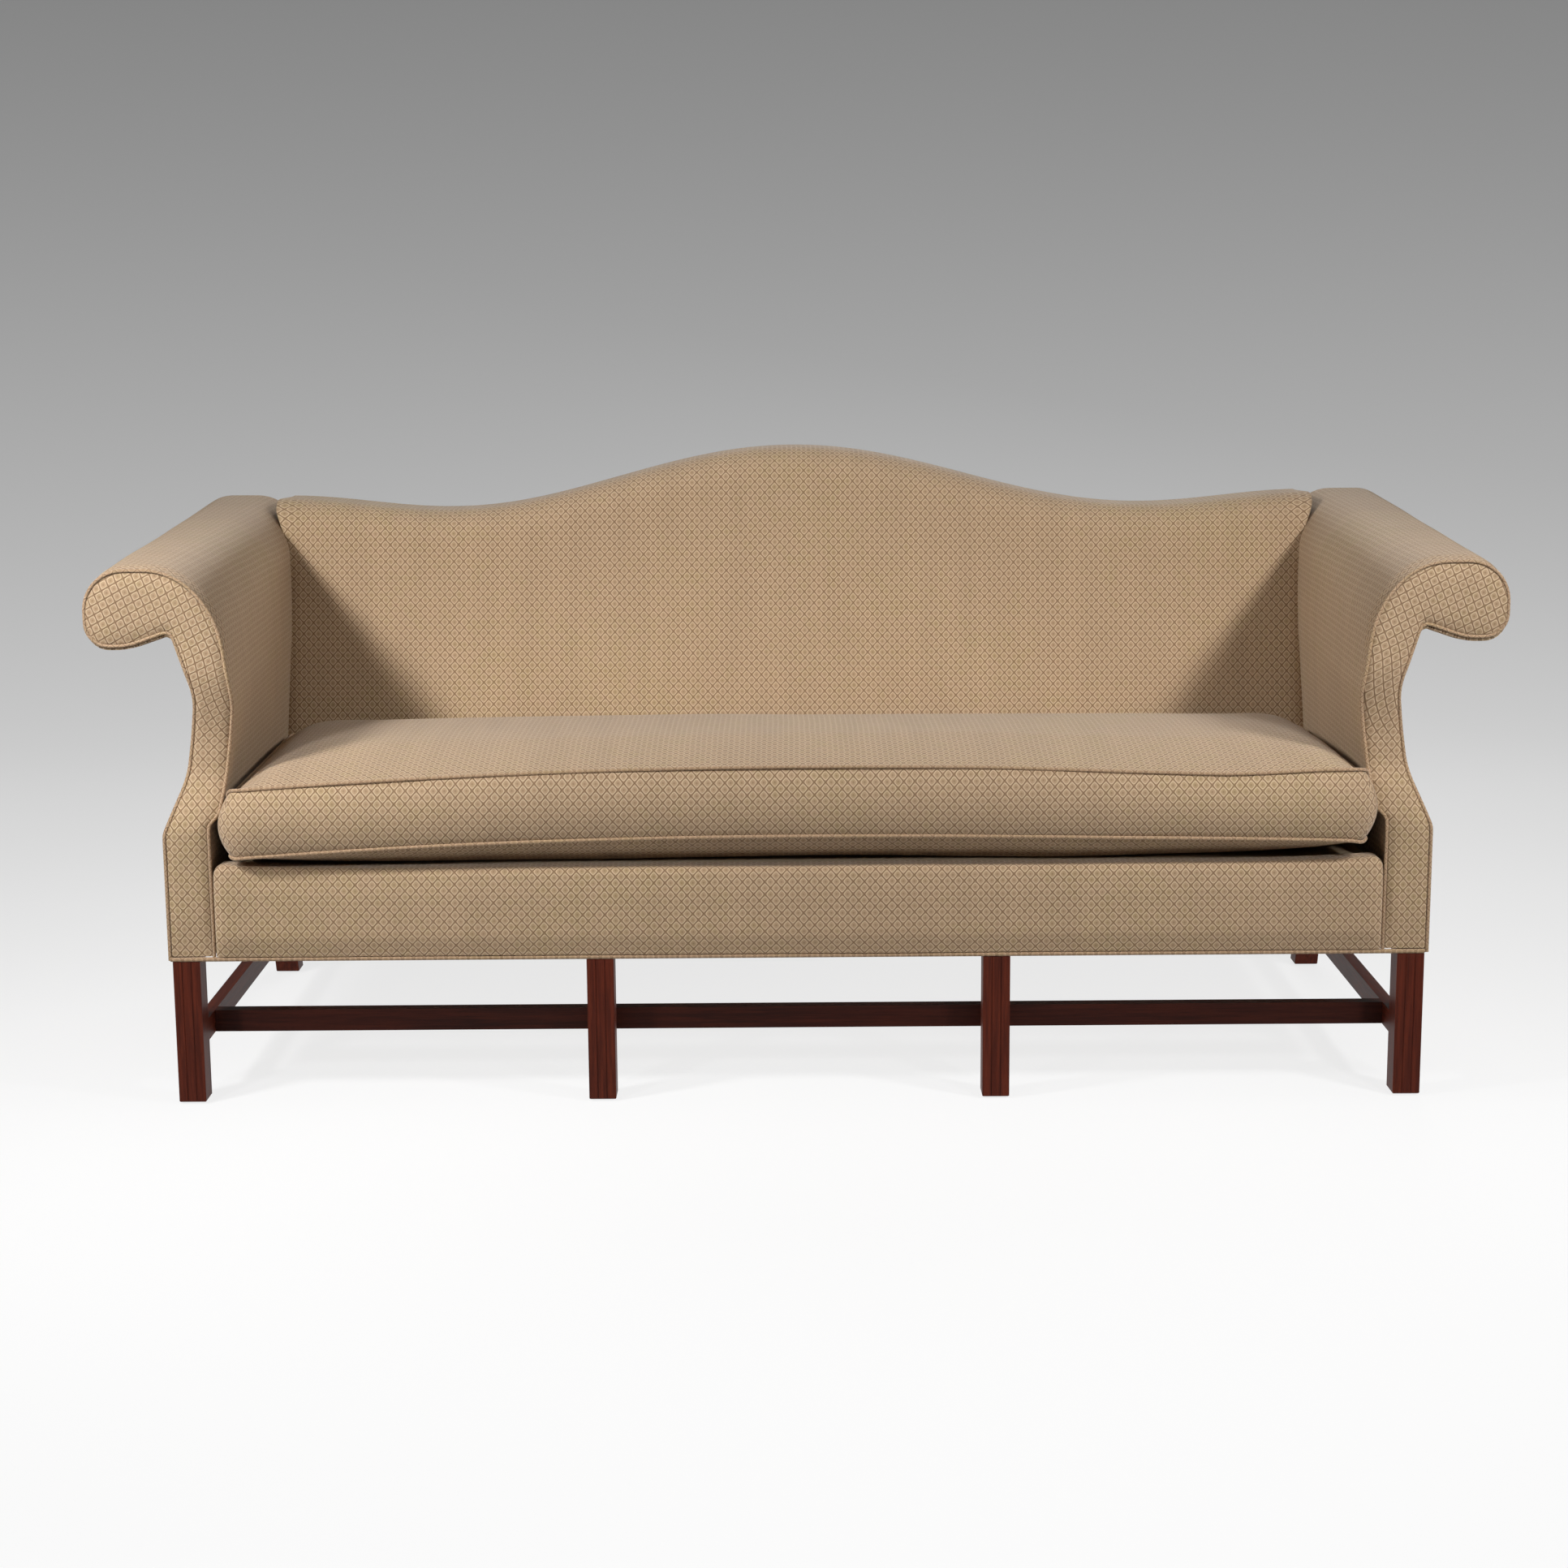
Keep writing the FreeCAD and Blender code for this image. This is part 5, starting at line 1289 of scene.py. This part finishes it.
def makeDeck():
    piece = griddedBox("deckTop", deck["columns"], deck["rows"], 2)
    low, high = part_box("seat_deck_pad")
    slope = math.tan(math.radians(cushion["slope"]))
    for vertex in piece.data.vertices:
        a, b, c = vertex.co
        y = low.y + (high.y - low.y) * (b + 1) / 2
        depth = y * 1000 - sofa["frontShift"]
        top = (cushion["deck"] - deck["gap"] - depth * slope) * 0.001
        top -= deck["edgeFall"] * smooth(0.9, 1, max(abs(a), abs(b)))
        vertex.co = (a * deck["half"], y, low.z + (top - low.z) * round((c + 1) / 2, 1))
    layer = piece.data.uv_layers.active
    for loop in piece.data.loops:
        layer.data[loop.index].uv = piece.data.vertices[loop.vertex_index].co.xy
    turnOutwards(piece)
    dress(piece, liningCloth, nodes=["deck_cover", "seat_deck_pad"])


def makeDustCover():
    # a thin sheet stretched under the seat frame, with a little sag
    low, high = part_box("dust_cover")
    columns = dust["columns"]
    rows = dust["rows"]

    def place(i, j):
        x = low.x + (high.x - low.x) * i / columns
        y = low.y + (high.y - low.y) * j / rows
        sag = dust["sag"] * (1 - (2 * i / columns - 1) ** 4) * (1 - (2 * j / rows - 1) ** 4)
        return Vector((x, y, high.z - dust["gap"] - sag))

    piece = clothPatch("dustCover", columns, rows, place, lambda i, j: (i * 0.03, j * 0.023))
    faceAway(piece, Vector((0, 0, 5)))
    thicken(piece, dust["thickness"])
    dress(piece, liningCloth, nodes=["dust_cover"])


makeDeck()
makeDustCover()
print("deck and dust cover made")

# Zip in the cushion's back boxing: a bowed tape and its coil

zipper = {
    "half": 560,
    "width": 14,
    "columns": 140,
    "rows": 6,
    "proud": 0.4,
    "bow": 0.0051775,
    "thickness": 1.2,
    "coilProud": 0.2,
    "coilRadius": 0.0011,
}


def makeZip():
    depth = cushion["rear"]
    level = cushion["backSeam"] - cushion["backBoxing"] / 2
    columns = zipper["columns"]
    along = [zipper["half"] * (2 * i / columns - 1) for i in range(columns + 1)]

    def place(i, j):
        up = (j / zipper["rows"] - 0.5) * zipper["width"]
        return onDeck(along[i], depth + zipper["proud"] - zipper["bow"] * up ** 2, level + up)

    tape = clothPatch("zipTape", columns, zipper["rows"], place, lambda i, j: (i * 0.008, j * 0.0023))
    faceAway(tape, Vector((0, 0, 0.45)))
    thicken(tape, zipper["thickness"])
    dress(tape, zipTape, "seat_cushion", ["cushion_zipper"])
    line = [onDeck(x, depth + zipper["coilProud"], level) for x in along]
    coil = roundCord("zipCoil", line, zipper["coilRadius"], (0, 0, 1), closed=False, sides=8)
    dress(coil, zipTape, "seat_cushion", ["cushion_zipper"])


makeZip()

# Camera, light and floor

view = {
    "place": (-0.0147, -4.3397, 1.2184),
    "pitch": 10.474,
    "roll": 0.422,
    "yaw": 0.074,
    "lens": 61.675,
    "sensor": 36,
}
# each lamp: place, target, size, power, and the angle over which it spreads
lamps = {
    "keyLeft": ((-2.27, -3.34, 2.04), (-0.62, 0, 0.55), 0.4, 2.9, 38),
    "keyRight": ((2.03, -3.43, 2.07), (0.62, 0, 0.55), 0.4, 2.5, 38),
    "sideLeft": ((-1.96, -1.39, 2.02), (-0.19, 0, 0), 0.3, 8.4, 80),
    "sideRight": ((2.05, -1.58, 2.13), (0.19, 0, 0), 0.3, 6.8, 80),
    "wallRight": ((-2.6, -0.5, 2.6), (0.87, -0.1, 0.65), 0.3, 0.95, 30),
    "wallLeft": ((2.6, -0.5, 2.6), (-0.87, -0.1, 0.65), 0.3, 0.5, 30),
    "overhead": ((0, -0.4, 3.3), (0, -0.1, 0.4), 2.2, 3.5, 180),
    "rearFill": ((0.8, 3.2, 2.6), (0, 0.3, 0.5), 2, 40, 180),
}
studio = {
    "half": 9,
    "front": -7,
    "bend": 2.6,
    "radius": 2.4,
    "steps": 16,
    "height": 7,
    # base colours of the sweep: pale near the sofa, and a grey far colour that is painted shade falling with
    # depth and height
    "near": (0.66, 0.66, 0.66),
    "far": (0.30, 0.30, 0.30),
    "fade": (-1.5, 8.0),
    # for what the camera sees: less of the lamps' light, and a painted glow that falls with depth and height
    "hidden": 0.72,
    "glow": 0.785,
    "glowFall": 0.077,
    "roughness": 0.85,
    "specular": 0.1,
    "worldGrey": (0.8, 0.8, 0.8, 1),
    "worldStrength": 0.05,
}


def makeCamera():
    camera = bpy.data.cameras.new("camera")
    camera.sensor_width = view["sensor"]
    camera.lens = view["lens"]
    eye = bpy.data.objects.new("camera", camera)
    scene.collection.objects.link(eye)
    turn = Matrix.Rotation(math.radians(view["yaw"]), 4, "Z")
    turn = turn @ Matrix.Rotation(math.radians(90 - view["pitch"]), 4, "X")
    turn = turn @ Matrix.Rotation(math.radians(-view["roll"]), 4, "Z")
    eye.matrix_world = Matrix.Translation(Vector(view["place"])) @ turn
    scene.camera = eye


def makeLamp(name, place, target, size, power, spread):
    light = bpy.data.lights.new(name, "AREA")
    light.shape = "SQUARE"
    light.size = size
    light.energy = power
    light.spread = math.radians(spread)
    holder = bpy.data.objects.new(name, light)
    scene.collection.objects.link(holder)
    holder.location = place
    holder.rotation_euler = (Vector(target) - Vector(place)).to_track_quat("-Z", "Y").to_euler()


def sweepMaterial():
    material, board, shader = newMaterial("paleSweep")
    parts = board.add("ShaderNodeSeparateXYZ", {0: board.add("ShaderNodeTexCoord").outputs["Object"]})
    along = board.math("ADD", parts.outputs["Y"], parts.outputs["Z"])
    rays = board.add("ShaderNodeLightPath").outputs
    seen = board.math("MAXIMUM", rays["Is Camera Ray"], rays["Is Glossy Ray"])
    seen = board.math("MAXIMUM", seen, rays["Is Transmission Ray"])
    # painted shade: the base colour greys with depth and height; painted glow: the camera sees an emission that
    # falls with depth and height
    colour = board.mix(board.ramp(along, studio["fade"]), studio["near"], studio["far"])
    glow = board.math("SUBTRACT", studio["glow"], board.math("MULTIPLY", along, studio["glowFall"]))
    setShader(board, shader, {
        "Base Color": board.mix(board.math("MULTIPLY", seen, studio["hidden"]), colour, (0, 0, 0)),
        "Emission Color": (1, 1, 1, 1),
        "Emission Strength": board.math("MULTIPLY", seen, glow),
        "Roughness": studio["roughness"],
        "Specular IOR Level": studio["specular"],
    })
    return material


def makeStudio():
    # a floor that curves up into a backdrop, with painted light and painted shade: paler in front and greyer
    # above
    deselectAll()
    length = studio["bend"] - studio["front"]
    bpy.ops.mesh.primitive_plane_add(size=1, location=(0, studio["front"] + length / 2, 0))
    sweep = bpy.context.object
    sweep.name = "studioSweep"
    sweep.scale = (2 * studio["half"], length, 1)
    bpy.ops.object.transform_apply(location=True, rotation=False, scale=True)
    # the rear edge is drawn out along a quarter circle and then straight up
    selectEdges(sweep, lambda start, end: start.y > 0 and end.y > 0)
    radius = studio["radius"]
    turns = [math.pi / 2 * n / studio["steps"] for n in range(studio["steps"] + 1)]
    places = [Vector((0, radius * math.sin(turn), radius * (1 - math.cos(turn)))) for turn in turns]
    places.append(Vector((0, radius, studio["height"])))
    for start, end in zip(places, places[1:]):
        bpy.ops.mesh.extrude_region_move(TRANSFORM_OT_translate={"value": end - start})
    turnOutwards(sweep)
    bpy.ops.object.shade_smooth()
    sweep.data.materials.append(sweepMaterial())
    world = bpy.data.worlds.new("studio")
    world.use_nodes = True
    scene.world = world
    background = world.node_tree.nodes["Background"]
    background.inputs["Color"].default_value = studio["worldGrey"]
    background.inputs["Strength"].default_value = studio["worldStrength"]


makeCamera()
for name, settings in lamps.items():
    makeLamp(name, *settings)
makeStudio()
scene.view_settings.view_transform = "Standard"
print("camera, light and floor made")
